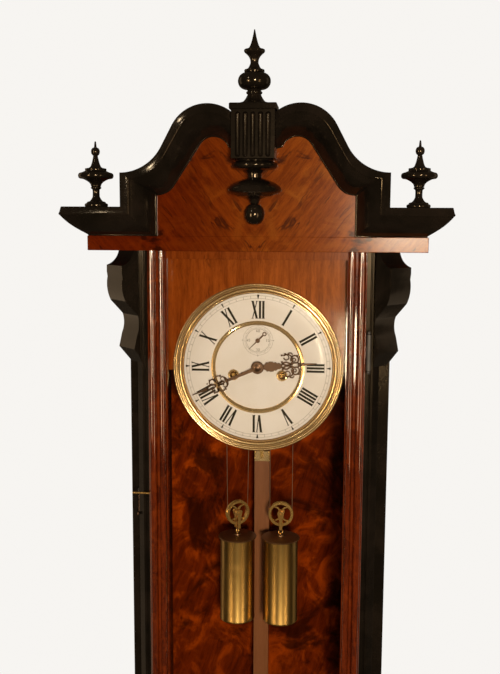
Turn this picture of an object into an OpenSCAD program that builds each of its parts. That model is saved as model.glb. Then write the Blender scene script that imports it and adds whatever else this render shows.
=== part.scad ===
/* [Case] */
// Width across the outside of the two side frames
case_w = 301; // [280:1:330]
// Depth of the case sides, from the wall to the back of the front posts
case_d = 119; // [116:1:140]
// Thickness of a side frame
side_t = 18; // [16:1:22]
// Thickness of the backboard
back_t = 12; // [8:1:16]
// Height from the centre of the dial up to the top of the case
case_rise = 134; // [126:1:150]
// Height from the centre of the dial down to the floor of the case
case_drop = 665; // [640:1:720]
// Height of the wall hanger above the centre of the dial
hanger_rise = 205; // [190:1:212]
// Width of the rails round a side glass
side_rail = 20; // [14:1:28]
// Thickness of the glass in the door and the sides
glass_t = 2; // [1.5:0.5:3]
// Thickness of the case floor
floor_t = 15; // [12:1:20]
// Width of a front post
post_w = 35.5; // [32:0.5:40]
// Depth of a front post
post_d = 27; // [24:1:32]
// Chamfer on the outer front edge of a post
post_bevel = 7; // [4:1:10]

/* [Door] */
// Distance from the outside of the case to the edge of the door
door_margin = 29; // [26:0.5:36]
// Width of a door stile
stile_w = 21.5; // [21:0.5:26]
// Thickness of the door frame
door_t = 16; // [14:1:20]
// Height of the slim rail at the top of the door
door_top_rail = 9; // [7:1:14]

/* [Head] */
// Width of the frieze rail
frieze_w = 369; // [360:1:390]
// Height of the frieze rail
frieze_h = 16; // [12:1:22]
// Distance of the frieze front from the wall
frieze_y = 172; // [170:1:180]
// Thickness of the pediment board
panel_t = 14; // [10:1:18]
// Width over the two cornice ledges
ledge_w = 415; // [406:1:430]
// Height of the ledge moulding
ledge_h = 31; // [28:1:36]
// Projection of the ledge moulding in front of the frieze
ledge_out = 28; // [22:1:34]
// Lean of the flat face along the outer edge of the moulding
ledge_lean = 2; // [1:0.5:4]
// Distance from the centre line to the outer side of the upright moulding
upright_x = 141.5; // [138:0.5:148]
// Height of the scroll above the top of the ledge
scroll_rise = 106; // [100:1:112]
// Width of the fluted block
block_w = 45; // [40:1:52]
// Height of the fluted block
block_h = 49; // [44:1:56]
// Number of flutes in the block
flutes = 5; // [3:1:6]
// Height of the middle finial above its cap
finial_h = 75; // [70:1:84]
// Height of a side finial
urn_h = 69.5; // [64:0.5:76]
// Distance of a side finial from the centre line
urn_x = 172; // [168:1:178]

/* [Corbels] */
// Height of a corbel
corbel_h = 128; // [116:1:140]
// Thickness of a corbel
corbel_t = 35; // [28:1:38]
// Angle at which a corbel stands out from the case corner
corbel_turn = 42; // [38:1:48]

/* [Base] */
// Projection of the base moulding beyond the case
base_out = 14; // [8:1:20]
// Height of the base moulding
base_h = 34; // [28:1:42]
// Height of the shaped apron under the base moulding
apron_h = 62; // [50:1:76]
// Length of the middle drop finial
drop_h = 60; // [50:1:72]

/* [Dial] */
// Distance from the outside of the case to the edge of the bezel
dial_margin = 52; // [50:0.5:56]
// Width of the bezel beside the enamel
bezel_width = 12.5; // [11:0.5:14]
// Diameter of the brass ring round the sunk centre
inner_ring_d = 107.6; // [100:0.4:112]
// Depth of the dial face behind the front of the case
dial_inset = 19; // [14:0.5:20]
// Height of the seconds arbor above the dial centre
seconds_rise = 31; // [29:0.5:33]
// Diameter of the small seconds dial
seconds_d = 35; // [30:1:40]
// Distance from the tip of the minute hand to the edge of the enamel
minute_short = 3; // [1:0.5:9]
// Distance from the tip of the hour hand to the edge of the enamel
hour_short = 18; // [14:0.5:26]
// Minutes past the hour shown at rest
show_min = 41; // [0:1:59]
// Hour shown at rest
show_hour = 2.83; // [0:0.01:11.99]

/* [Movement] */
// Width of the movement plates
plate_w = 104; // [100:1:116]
// Height of the plates above the dial centre
plate_up = 68; // [66:1:76]
// Depth of the plates below the dial centre
plate_down = 52; // [48:1:58]
// Thickness of a movement plate
plate_t = 2.5; // [2:0.5:4]
// Depth of the back plate's rear face behind the front of the case
plate_inset = 84; // [82:1:86]
// Length of the pillars between the plates
pillar_l = 45; // [45:1:48]
// Diameter of a pillar
pillar_d = 8; // [6:0.5:10]
// Diameter of an arbor
arbor_d = 2.4; // [2:0.1:2.5]
// Radial clearance of an arbor in its hole
bore_gap = 0.05; // [0.02:0.01:0.1]
// Distance of a winding arbor from the centre line
wind_x = 28; // [27:0.5:30]
// Depth of the winding arbors below the dial centre
wind_z = 9.5; // [8:0.5:11]
// Diameter of a line drum
drum_d = 22.8; // [20:0.2:23]
// Length of a line drum
drum_l = 26; // [22:1:27]
// Teeth on the going great wheel
great_n = 120; // [112:8:128]
// Teeth on the centre wheel
centre_n = 80; // [72:8:80]
// Teeth on the third wheel
third_n = 64; // [56:8:64]
// Leaves on each going pinion
pinion_n = 8; // [7:1:8]
// Teeth on the escape wheel
escape_n = 30; // [24:6:36]
// Tip diameter of the escape wheel
escape_d = 29.2; // [26:0.2:30]
// Teeth on the strike great wheel
strike_n = 96; // [90:6:96]
// Leaves on the pin wheel pinion
strike_pinion_n = 10; // [8:1:12]
// Teeth on the pin wheel
pin_n = 72; // [66:6:72]
// Teeth on the warning wheel
warn_n = 60; // [54:6:60]
// Thickness of a wheel
wheel_t = 2; // [1.5:0.25:2.5]

/* [Pendulum] */
// Height of the suspension point above the dial centre
susp_rise = 52; // [50:1:54]
// Distance of the pendulum behind the back plate
pend_gap = 14; // [12:1:16]
// Width of the wooden rod
rod_w = 19; // [14:1:22]
// Thickness of the wooden rod
rod_t = 7; // [5:0.5:9]
// Depth of the rod's brass head below the dial centre
head_drop = 119; // [112:1:128]
// Distance from the suspension point to the middle of the bob
bob_drop = 566; // [540:1:580]
// Diameter of the bob
bob_d = 124; // [100:2:136]
// Thickness of the bob
bob_t = 27; // [18:1:28]

/* [Weights] */
// Diameter of a weight shell
weight_d = 42; // [36:1:44]
// Height of a weight shell
weight_h = 106; // [90:1:120]
// Diameter of a weight's rolled rims
weight_rim_d = 46.5; // [44.5:0.5:48]
// Distance from the dial centre down to the top of a weight at rest
weight_drop = 215; // [200:1:260]
// Line radius of a pulley
pulley_r = 13.5; // [12:0.5:14]
// Outside diameter of a pulley
pulley_d = 30; // [28:0.5:32]
// Diameter of the gut line
gut_d = 1.2; // [0.8:0.1:1.4]
// Turn of the left pulley on its line, seen from above
pulley_turn = 32; // [0:1:40]

/* [Gong] */
// Outer radius of the gong coil
gong_r = 44; // [38:1:48]
// Inner radius of the gong coil
gong_in = 15; // [12:1:18]
// Turns of the gong coil
gong_turns = 5; // [3:1:6]
// Diameter of the gong wire
gong_d = 3; // [2:0.2:3.4]

/* [Clearances] */
// Gap between pieces that move past each other
gap = 0.3; // [0.3:0.05:0.5]
// Number of sides of round shapes
$fn = 64; // [48:8:96]

/* [Hidden] */

// Heights, measured from the wall hanger
dial_z = -hanger_rise;
top_z = dial_z + case_rise;
floor_z = dial_z - case_drop;
base_z = floor_z - floor_t;
ledge_z = top_z + frieze_h + ledge_h;
scroll_z = ledge_z + scroll_rise;
// The block's top lies a little under the top of the scroll
block_sink = 7.5;
block_z = scroll_z - block_sink;
cap_t = 6.5;
cap_w = block_w + 4;

// Case
inner_x = case_w / 2 - side_t;
post_x = inner_x + 5;
front_y = case_d + post_d;
dial_y = front_y - dial_inset;
door_w = case_w - 2 * door_margin;
bezel_d = case_w - 2 * dial_margin;
chapter_d = bezel_d - 2 * bezel_width;
minute_len = chapter_d / 2 - minute_short;
hour_len = chapter_d / 2 - hour_short;
plate_y = front_y - plate_inset;
pend_y = plate_y - pend_gap;
door_y = front_y + gap;
door_in_x = door_w / 2 - stile_w;
mask_t = 6;
mask_y = dial_y + 4.5;
panel_back = frieze_y - panel_t;

// Dial and hands, as distances from the wall
dial_back = dial_y - 4.5;
plate_in = plate_y + plate_t;
front_plate_y = plate_in + pillar_l;
plates_front = front_plate_y + plate_t;
hand_t = 0.7;
seconds_hand_y = dial_y + 1.2;
seconds_len = seconds_d / 2 - 3.5;
hour_hand_y = dial_y + 2.8;
minute_hand_y = dial_y + 4.6;
bezel_in = chapter_d / 2 - 0.6;
winding_hole = 4.6;
centre_hole = 5.5;

// Wall hanger plate
hanger_w = 60;
hanger_h = 40;
hanger_t = 3;
hanger_hole = 5;

// Scroll and cornice
crest_x = 48.7;
crest_r = 42;
inner_r = 17;
scroll_w = 32;
crest_start = acos((block_w / 2 - crest_x) / crest_r);
upright_rise = 35.5;
upright_w = 35;
moulding_back = ledge_out;
dust_t = 6;
block_y = frieze_y + 35;
flute_r = 2.6;
finial_y = frieze_y + 18.5;
urn_y = frieze_y + 6;
pendant_y = frieze_y + 9;

// Door fittings
pane_in = 4;
hinge_h = 40;
hinge_inset = 90;
knuckle_r = 2.9;
pin_r = 1.5;
hinge_x = door_w / 2 + 3.4;
hinge_y = door_y + door_t - 5;
stud_r = 1.2;
stud_l = 21;
stud_y = front_y + 6;
stud_up = 4.2;
hook_x = post_x + gap;
hook_y = case_d + 10;
hook_z = dial_z - 150;
hook_hang = 80;
hook_pin_r = 1.5;
hook_t = 1.6;
hook_l = stud_y + stud_r + gap + 0.2 - hook_y;

// Movement fittings
arm_x = 40;
arm_w = 8;
susp_block_h = 7.7;
pillar_x = plate_w / 2 - 7;
drum_arbor_r = 2.5;
square_w = 3.6;
dial_plate_t = 1.6;
cannon_r = 2.4;
hour_pipe_r = 3.6;
stud_pin_r = 1.2;
pallet_gap = 0.9;
escape_turn = 3;
seconds_turn = 135;
fly_r = 10;
tail_l = 8.4;
hammer_len = 11;
hook_rise = 10;
cheek_out = 5.2;
pulley_t = 5;

// Trains: each module follows from the pitch of the arbors
wind = [wind_x, -wind_z];
wind_reach = norm(wind);
great_m = 2 * wind_reach / (great_n + pinion_n);
centre_m = 0.5;
third_m = 0.45;
centre_reach = centre_m * (centre_n + pinion_n) / 2;
third_reach = third_m * (third_n + pinion_n) / 2;
third_pz = (pow(centre_reach, 2) - pow(third_reach, 2) + pow(seconds_rise, 2)) / (2 * seconds_rise);
third_p = [-sqrt(pow(centre_reach, 2) - pow(third_pz, 2)), third_pz];
escape_p = [0, seconds_rise];
anchor_p = [0, susp_rise];
motion_m = 0.75;
hour_m = 0.72;
cannon_n = 12;
minute_n = 36;
minute_pinion_n = 10;
hour_n = 40;
motion_reach = motion_m * (cannon_n + minute_n) / 2;
minute_p = [0, -motion_reach];
strike_m = 0.5;
pin_m = 0.45;
warn_m = 0.4;
function step_to(from, dx, reach) = from + [dx, sqrt(pow(reach, 2) - pow(dx, 2))];
pin_p = step_to(wind, 6, strike_m * (strike_n + strike_pinion_n) / 2);
warn_p = step_to(pin_p, -10, pin_m * (pin_n + pinion_n) / 2);
fly_p = step_to(warn_p, 6, warn_m * (warn_n + pinion_n) / 2);
hammer_p = pin_p + [14, 18.7];

// Layers in front of the back plate
centre_y = plate_in + 2.5;
great_y = plate_in + 6;
strike_y = plate_in + 10;
drum_y = plate_in + 13;
escape_y = plate_in + 16;
warn_y = plate_in + 32.5;
third_y = plate_in + 36;
pinion_over = 0.5;
flange_t = 1.5;
flange_d = drum_d + 4;
line_r = drum_d / 2 + gut_d / 2;
line_y = drum_y + drum_l / 2;

// Weights and lines
pulley_x = wind_x + line_r - pulley_r;
weight_z = dial_z - weight_drop;
pulley_z = weight_z + 29;
post_line_x = pulley_x - pulley_r;
line_post_z = -plate_down + 6;
line_post_r = 1.5;

// Pendulum
susp_z = dial_z + susp_rise;
head_z = dial_z - head_drop;
head_h = 13;
bob_z = susp_z - bob_drop;
rod_end = bob_z - bob_d / 2 - 10;
pend_spring = 22;
crutch_y = plate_y - 4.5;
gong_z = dial_z - 12;
gong_y = back_t + 6;

// Colours
ebony = [0.06, 0.05, 0.05];
walnut = [0.52, 0.24, 0.10];
mahogany = [0.36, 0.12, 0.06];
burl = [0.26, 0.12, 0.06];
brass = [0.78, 0.62, 0.30];
steel = [0.60, 0.60, 0.62];
enamel = [0.95, 0.93, 0.86];
glass = [0.80, 0.88, 0.88, 0.35];
bronze = [0.25, 0.16, 0.10];
pine = [0.72, 0.52, 0.32];
gut = [0.45, 0.32, 0.18];

// A flat shape drawn in x and z, made solid from y0 to y1 behind the front
module slab(y0, y1) {
    translate([0, -y0, 0]) rotate([90, 0, 0]) linear_extrude(y1 - y0) children();
}

// A shape turned about an axis that runs from the wall to the front
module turned(y0) {
    translate([0, -y0, 0]) rotate([90, 0, 0]) rotate_extrude() children();
}

module rod(r, y0, y1) {
    slab(y0, y1) circle(r);
}

module at(p) {
    translate([p[0], 0, dial_z + p[1]]) children();
}

module both_sides() {
    children();
    mirror([1, 0, 0]) children();
}

// Block between two corners given as low and high x, distance from the wall, and height
module block(x0, x1, y0, y1, z0, z1) {
    translate([x0, -y1, z0]) cube([x1 - x0, y1 - y0, z1 - z0]);
}

// Tooth outline: n teeth between two radii, with half widths as shares of the pitch
function teeth(n, root, tip, root_w, tip_w, turn) = [
    for (i = [0 : n - 1]) for (p = [[root, -root_w], [tip, -tip_w], [tip, tip_w], [root, root_w]])
        let (a = turn + (i + p[1]) * 360 / n) p[0] * [cos(a), sin(a)]
];
function wheel_teeth(n, m, turn) = teeth(n, n * m / 2 - 1.2 * m, n * m / 2 + 0.9 * m, 0.22, 0.07, turn);
function pinion_teeth(n, m, turn) = teeth(n, n * m / 2 - 1.3 * m, n * m / 2 + 0.6 * m, 0.17, 0.08, turn);
function aim(from, to) = atan2(to[1] - from[1], to[0] - from[0]);

// A wheel with a thin rim and crossed arms, bored for its arbor
module crossed_wheel(points, rim_r, hub_r, bore_r, arms, y0) {
    slab(y0, y0 + wheel_t) difference() {
        union() {
            difference() {
                polygon(points);
                circle(rim_r);
            }
            circle(hub_r);
            for (i = [0 : arms - 1]) rotate(i * 360 / arms + 20) translate([0, -1]) square([rim_r + 0.5, 2]);
        }
        circle(bore_r);
    }
}

module pinion(n, m, turn, y0, y1) {
    slab(y0, y1) polygon(pinion_teeth(n, m, turn));
}

// Case

module backboard() {
    color(burl) difference() {
        union() {
            block(-inner_x, inner_x, 0, back_t, floor_z, top_z);
            block(-hanger_w, hanger_w, 0, back_t, top_z, hanger_w / 2);
        }
        block(-hanger_w / 2, hanger_w / 2, -1, hanger_t, -hanger_h / 2, hanger_h / 2);
        rod(hanger_hole + 5, 0, back_t + 1);
    }
}

module hanger_plate() {
    color(steel) difference() {
        block(-hanger_w / 2, hanger_w / 2, 0, hanger_t, -hanger_h / 2, hanger_h / 2);
        rod(hanger_hole, -1, back_t);
    }
}

// Side frame: two stiles and two rails round the side glass, grooved for it
module side_frames() {
    color(ebony) both_sides() difference() {
        block(inner_x, case_w / 2, 0, case_d, base_z, top_z);
        block(inner_x - 1, case_w / 2 + 1, side_rail, case_d - side_rail, floor_z + side_rail, top_z - side_rail);
        side_pane();
    }
}

module side_pane() {
    rebate = 5;
    mid = case_w / 2 - side_t / 2;
    block(mid - glass_t / 2, mid + glass_t / 2, side_rail - rebate, case_d - side_rail + rebate,
        floor_z + side_rail - rebate, top_z - side_rail + rebate);
}

module side_glasses() {
    color(glass) both_sides() side_pane();
}

module front_posts() {
    color(ebony) both_sides() {
        translate([0, 0, base_z]) linear_extrude(top_z - base_z) polygon([
            [post_x - post_w, -case_d], [post_x, -case_d], [post_x, -front_y + post_bevel],
            [post_x - post_bevel, -front_y], [post_x - post_w, -front_y]
        ]);
    }
    sill_x = post_x - post_w + 1;
    color(ebony) block(-sill_x, sill_x, case_d, front_y, base_z, floor_z);
}

module dial_mask() {
    mask_x = post_x - post_w;
    color(walnut) slab(mask_y, mask_y + mask_t) difference() {
        translate([-mask_x, dial_z - 3]) square([2 * mask_x, case_rise + 3]);
        translate([0, dial_z]) circle(bezel_d / 2 - 1.5);
    }
}

// Floor of the case and the dust cover over the head
module case_boards() {
    color(burl) block(-inner_x, inner_x, 0, case_d, base_z, floor_z);
    color(burl) block(
        moulding_back - ledge_w / 2, ledge_w / 2 - moulding_back, back_t, panel_back,
        ledge_z - dust_t - 1, ledge_z - 1
    );
}

module frieze() {
    color(walnut) translate([0, 0, top_z]) linear_extrude(frieze_h) polygon([
        [-frieze_w / 2, 0], [-hanger_w, 0], [-hanger_w, -back_t], [hanger_w, -back_t], [hanger_w, 0],
        [frieze_w / 2, 0], [frieze_w / 2, -frieze_y], [-frieze_w / 2, -frieze_y]
    ]);
}

function arc_at(c, r, a0, a1, n) = [for (i = [0 : n]) let (a = a0 + (a1 - a0) * i / n) c + r * [cos(a), sin(a)]];
function cross2(a, b) = a[0] * b[1] - a[1] * b[0];

// Swan-neck curve: an arc over the crest, a straight slope, and a hollow arc that levels out at the end
function swan_neck(c, r, start, slope, end) =
    let (
        leave = c + r * [sin(slope), cos(slope)],
        hollow = -cross2(end - leave, [cos(slope), -sin(slope)]) / (1 - cos(slope))
    )
    concat(
        arc_at(c, r, start, 90 - slope, 8),
        arc_at(end + [0, hollow], hollow, 270 - slope, 270, 6)
    );

outer_curve = swan_neck([crest_x, scroll_z - crest_r], crest_r, crest_start, 62, [upright_x, ledge_z + upright_rise]);
inner_curve = swan_neck(
    [crest_x - 4, scroll_z - scroll_w - inner_r], inner_r, 165, 57,
    [upright_x - upright_w, ledge_z + upright_rise - 23]
);

// Section of the moulding: share of its width from the outer edge, and distance from the wall
moulding_front = frieze_y + ledge_out;
cove_end = frieze_y + 4;
cove_steps = 5;
section = concat(
    [[0, frieze_y], [0, moulding_front - ledge_lean], [0.26, moulding_front]],
    [for (i = [0 : cove_steps]) let (t = i / cove_steps)
        [0.30 + 0.66 * t, moulding_front - 0.8 + (cove_end - moulding_front) * (t - 0.10 * sin(180 * t))]],
    [[1, cove_end - 1.5], [1, frieze_y]]
);
function front_station(outer, inner) = [
    for (p = section) let (q = outer + (inner - outer) * p[0]) [q[0], -p[1], q[1]]
];
function side_station(at_wall) = [
    for (p = section) [ledge_w / 2 - moulding_front + p[1], at_wall ? 0 : -p[1], ledge_z - ledge_h * p[0]]
];

// Solid skinned over stations that all have the same number of points
module skinned(stations) {
    n = len(stations[0]);
    count = len(stations);
    points = [for (s = stations) for (p = s) p];
    sides = [
        for (k = [0 : count - 2]) for (i = [0 : n - 1]) let (j = (i + 1) % n, a = k * n)
            each [[a + i, a + j, a + n + j], [a + i, a + n + j, a + n + i]]
    ];
    ends = [[for (i = [n - 1 : -1 : 0]) i], [for (i = [0 : n - 1]) (count - 1) * n + i]];
    polyhedron(points, concat(sides, ends));
}

module cornice_moulding() {
    upright = [upright_x, ledge_z + upright_rise];
    corner = [upright_x, ledge_z];
    stations = concat(
        [front_station([block_w / 2, outer_curve[0][1]], [block_w / 2, inner_curve[0][1]])],
        [for (i = [1 : len(outer_curve) - 2]) front_station(outer_curve[i], inner_curve[i])],
        [front_station(upright, inner_curve[len(inner_curve) - 1])],
        [front_station(corner, corner - [upright_w, ledge_h])],
        [side_station(false)],
        [side_station(true)]
    );
    color(ebony) both_sides() skinned(stations);
}

module pediment_panel() {
    n = len(outer_curve);
    edge = concat(
        [[0, block_z - block_h / 2]],
        [[block_w / 2, outer_curve[0][1] - 6]],
        [for (i = [1 : n - 1]) outer_curve[i] + (inner_curve[i] - outer_curve[i]) * 0.3],
        [[upright_x - upright_w * 0.3, ledge_z - ledge_h], [0, ledge_z - ledge_h]]
    );
    color(walnut) slab(panel_back, frieze_y) union() {
        polygon(edge);
        mirror([1, 0]) polygon(edge);
    }
}

module fluted_block() {
    pitch = (block_w - 6) / flutes;
    color(ebony) difference() {
        block(-block_w / 2, block_w / 2, frieze_y, block_y, block_z - block_h, block_z);
        for (i = [0 : flutes - 1]) translate([(i - (flutes - 1) / 2) * pitch, -block_y, block_z - block_h]) {
            translate([0, 0, 4]) cylinder(r = flute_r, h = block_h - 9);
            translate([0, 0, 4]) sphere(flute_r);
            translate([0, 0, block_h - 5]) sphere(flute_r);
        }
    }
    color(ebony) block(-cap_w / 2, cap_w / 2, frieze_y, block_y + 2.5, block_z, block_z + cap_t);
}

// Turned bead: a round swelling from one height to the next
function bead(r_in, r_out, z0, z1) = [
    for (i = [0 : 6]) [r_in + (r_out - r_in) * sin(30 * i), (z0 + z1) / 2 - (z1 - z0) / 2 * cos(30 * i)]
];

// Hollow curve between two radii
function hollow(r0, z0, r1, z1) = [
    for (i = [0 : 5]) let (t = i / 5) [r0 + (r1 - r0) * pow(t, r1 < r0 ? 0.45 : 2.2), z0 + (z1 - z0) * t]
];

module turning(points) {
    rotate_extrude() polygon(concat([[0, points[0][1]]], points, [[0, points[len(points) - 1][1]]]));
}

module middle_finial() {
    k = finial_h / 83;
    color(ebony) translate([0, -finial_y, block_z + cap_t]) turning(concat(
        [[14, 0], [14, 1.5]], hollow(13, 1.5, 5.6, 8 * k), bead(6, 9, 9 * k, 15 * k), [[7.5, 17 * k]],
        bead(9, 17, 18 * k, 35 * k), [[10.3, 36 * k], [10.3, 38.5 * k]], hollow(9, 39 * k, 4.1, 46 * k),
        hollow(4.2, 47 * k, 9.5, 57 * k), [[10.7, 58.5 * k], [10.7, 60.5 * k]],
        hollow(8, 61.5 * k, 0.5, finial_h)
    ));
}

module side_finials() {
    k = urn_h / 73;
    color(ebony) both_sides() translate([urn_x, -urn_y, ledge_z]) turning(concat(
        bead(11.5, 12.5, 0, 3.5), [[10, 5]], hollow(9, 5.5, 3.8, 11), [[3.8, 19 * k]], bead(4.5, 6.5, 20 * k, 24 * k),
        hollow(6, 25 * k, 14, 31 * k), bead(16.5, 18.9, 31.5 * k, 38 * k), [[11.3, 41 * k], [11.3, 42.5 * k]],
        hollow(7.5, 43.5 * k, 2.4, 57 * k), bead(1.8, 4.7, 57 * k, 66 * k), [[0.4, urn_h]]
    ));
}

// Pendant glued to the pediment, so its back is cut flat
module pendant() {
    color(ebony) difference() {
        translate([0, -pendant_y, block_z - block_h]) mirror([0, 0, 1]) turning(concat(
            [[20, 0], [20, 1.5]], bead(19, 24.5, 2, 10), hollow(17, 10.5, 8, 14), bead(8, 9.5, 14.5, 18),
            hollow(8, 19, 28.5, 29.5), [[28.7, 30], [28.7, 31.5]], hollow(27, 33, 5.3, 42), bead(5.3, 6.8, 42.5, 45.5),
            bead(3, 10.6, 46.5, 67.5)
        ));
        block(-40, 40, 0, frieze_y, block_z - block_h - 80, block_z);
    }
}

// Corbel: a thick board with a waved front edge, standing out from the case corner
module corbels() {
    low = top_z - corbel_h;
    wave = concat(
        [[-14, top_z], [16, top_z]],
        arc_at([37, top_z + 3.65], 21, 190, 256, 5),
        [[32, top_z - 24]],
        arc_at([-8, top_z - 38], 40, 12, -28, 6),
        arc_at([40, top_z - 82], 29, 160, 205, 6),
        [[17.5, low + 18], [2, low], [-14, low]]
    );
    color(ebony) both_sides() difference() {
        translate([post_x - 4, 4 - front_y, 0]) rotate([0, 0, -corbel_turn]) slab(-corbel_t / 2, corbel_t / 2) polygon(wave);
        block(inner_x - 20, case_w / 2, 0, case_d, low - 1, top_z + 1);
        block(0, post_x - post_bevel, case_d - 20, front_y + 30, low - 1, top_z + 1);
        translate([0, 0, low - 1]) linear_extrude(corbel_h + 2) polygon([
            [0, -case_d + 20], [post_x, -case_d + 20], [post_x, -front_y + post_bevel],
            [post_x - post_bevel, -front_y], [0, -front_y]
        ]);
    }
}

// Base moulding with mitred corners: where the front profile and the side profile cross
module base_moulding() {
    w = case_w / 2;
    out = concat(
        [[3, 0], [3, -4]], arc_at([base_out, -4], base_out - 3, 180, 270, 6),
        [[base_out, 7 - base_h], [base_out, -base_h]]
    );
    color(ebony) intersection() {
        translate([-w - base_out, -front_y, base_z]) rotate([90, 0, 90]) linear_extrude(2 * (w + base_out))
            polygon(concat([for (p = out) [-p[0], p[1]]], [[front_y, -base_h], [front_y, 0]]));
        translate([0, 0, base_z]) rotate([90, 0, 0]) linear_extrude(front_y + base_out) polygon(concat(
            [for (p = out) [w + p[0], p[1]]],
            [for (i = [len(out) - 1 : -1 : 0]) [-w - out[i][0], out[i][1]]]
        ));
    }
}

apron_z = base_z - base_h;
apron_x = case_w / 2 - 6;
apron_y = front_y - 4;
apron_t = 12;

module base_apron() {
    side_depth = apron_y - apron_t;
    color(ebony) slab(apron_y - apron_t, apron_y) polygon(concat(
        [[-apron_x, apron_z], [-apron_x, apron_z - 16]],
        arc_at([-apron_x + 62, apron_z - 16], 34, 180, 270, 6),
        arc_at([-30, apron_z - apron_h + 12], 12, 180, 270, 4),
        arc_at([30, apron_z - apron_h + 12], 12, 270, 360, 4),
        arc_at([apron_x - 62, apron_z - 16], 34, 270, 360, 6),
        [[apron_x, apron_z - 16], [apron_x, apron_z]]
    ));
    color(ebony) both_sides() translate([apron_x - apron_t, 0, 0]) rotate([90, 0, 90]) linear_extrude(apron_t)
        polygon(concat(
            [[0, apron_z], [0, apron_z - apron_h * 0.5]],
            arc_at([-side_depth * 0.5, apron_z - 16], apron_h * 0.4, 270, 200, 5),
            [[28 - side_depth, apron_z - 16], [-side_depth, apron_z - 16], [-side_depth, apron_z]]
        ));
}

module drop(h) {
    k = h / 60;
    mirror([0, 0, 1]) turning(concat(
        [[14 * k, 0], [14 * k, 3 * k]], hollow(13 * k, 3 * k, 6 * k, 10 * k), bead(6 * k, 9 * k, 10 * k, 14 * k),
        bead(10 * k, 17 * k, 16 * k, 32 * k), hollow(9 * k, 33 * k, 4 * k, 42 * k), bead(3 * k, 7.5 * k, 43 * k, 58 * k),
        [[0.5, h]]
    ));
}

module drop_finials() {
    color(ebony) translate([0, apron_t / 2 - apron_y, apron_z - apron_h]) drop(drop_h);
    color(ebony) both_sides() translate([apron_x - 12, 12 - apron_y, apron_z - 16]) drop(drop_h * 0.8);
}

module beat_plate() {
    z = rod_end - 14;
    color(enamel) slab(back_t, back_t + 2) difference() {
        translate([0, z]) circle(38);
        translate([0, z + 8]) circle(38);
    }
}

// Door

// Section of a stile: a flat back with two round mouldings along the front
function stile_section() = concat(
    [[0, 0], [0, door_t - 5], [1.5, door_t - 5]],
    arc_at([5.5, door_t - 4], 4, 180, 0, 8),
    [[9.5, door_t - 6], [13, door_t - 6]],
    arc_at([16.5, door_t - 3.5], 3.5, 180, 0, 8),
    [[20.5, door_t - 7], [stile_w, door_t - 7], [stile_w, 0]]
);

door_z0 = base_z + 4;
door_z1 = top_z - gap;

module stile(len_mm) {
    linear_extrude(len_mm) mirror([1, 0]) mirror([0, 1]) polygon(stile_section());
}

// Door frame: two stiles and a bottom rail, grooved for the glass
module door_frame() {
    h = door_z1 - door_z0;
    color(mahogany) difference() {
        union() {
            both_sides() translate([door_w / 2, -door_y, door_z0]) stile(h);
            translate([-door_in_x, -door_y, door_z0]) rotate([90, 0, 90]) linear_extrude(2 * door_in_x)
                polygon([for (p = stile_section()) [-p[1], p[0]]]);
        }
        door_pane();
    }
    color(brass) translate([-door_w / 2, -stud_y, hook_z + stud_up]) rotate([0, -90, 0])
        cylinder(r = stud_r, h = stud_l);
}

module door_top_rail() {
    color(walnut) difference() {
        block(-door_in_x, door_in_x, door_y, door_y + pane_in + glass_t + 3, door_z1 - door_top_rail, door_z1);
        door_pane();
    }
}

module door_pane() {
    rebate = 4;
    block(-door_in_x - rebate, door_in_x + rebate, door_y + pane_in, door_y + pane_in + glass_t,
        door_z0 + stile_w - rebate, door_z1 - door_top_rail + rebate);
}

module door_glass() {
    color(glass) door_pane();
}

module at_hinges() {
    for (z = [door_z0 + hinge_inset, door_z1 - hinge_inset - hinge_h])
        translate([hinge_x, -hinge_y, z]) children();
}

// Fixed half of each hinge: a leaf on the post, two knuckles and the pin
module hinge_pins() {
    third = hinge_h / 3;
    color(brass) at_hinges() {
        difference() {
            union() {
                cylinder(r = knuckle_r, h = third);
                translate([0, 0, 2 * third]) cylinder(r = knuckle_r, h = third);
                translate([-0.7, 0, 0]) cube([1.4, hinge_y - front_y, hinge_h]);
            }
            translate([0, 0, third]) cylinder(r = knuckle_r + gap, h = third);
        }
        cylinder(r = pin_r, h = hinge_h);
        translate([0, 0, -2]) sphere(pin_r + 0.6);
        translate([0, 0, hinge_h + 2]) sphere(pin_r + 0.6);
        translate([0, 0, -2]) cylinder(r = pin_r * 0.8, h = hinge_h + 4);
    }
    // Pin that the hook turns on
    color(brass) translate([-post_x, -hook_y, hook_z]) rotate([0, -90, 0]) {
        cylinder(r = hook_pin_r, h = 3 * gap + hook_t);
        translate([0, 0, 2 * gap + hook_t]) cylinder(r = 3, h = 1);
    }
}

// Moving half of each hinge, let into the edge of the door
module door_hinges() {
    third = hinge_h / 3;
    color(brass) at_hinges() difference() {
        union() {
            translate([0, 0, third + gap]) cylinder(r = knuckle_r, h = third - 2 * gap);
            translate([door_w / 2 - hinge_x, 0.2, third + gap]) cube([hinge_x - door_w / 2, 1.4, third - 2 * gap]);
        }
        cylinder(r = pin_r + bore_gap, h = hinge_h);
    }
}

// Hook that hangs free beside the post until it is turned over the stud on the door
module door_hook() {
    color(brass) translate([-hook_x, -hook_y, hook_z]) rotate([hook_hang, 0, 0])
        rotate([0, -90, 0]) linear_extrude(hook_t) difference() {
            union() {
                circle(4);
                translate([-2.6, -hook_l]) square([5.2, hook_l]);
                translate([-2.6, -hook_l - 3]) square([11.2, 3.2]);
            }
            circle(hook_pin_r + bore_gap);
        }
}

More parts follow.
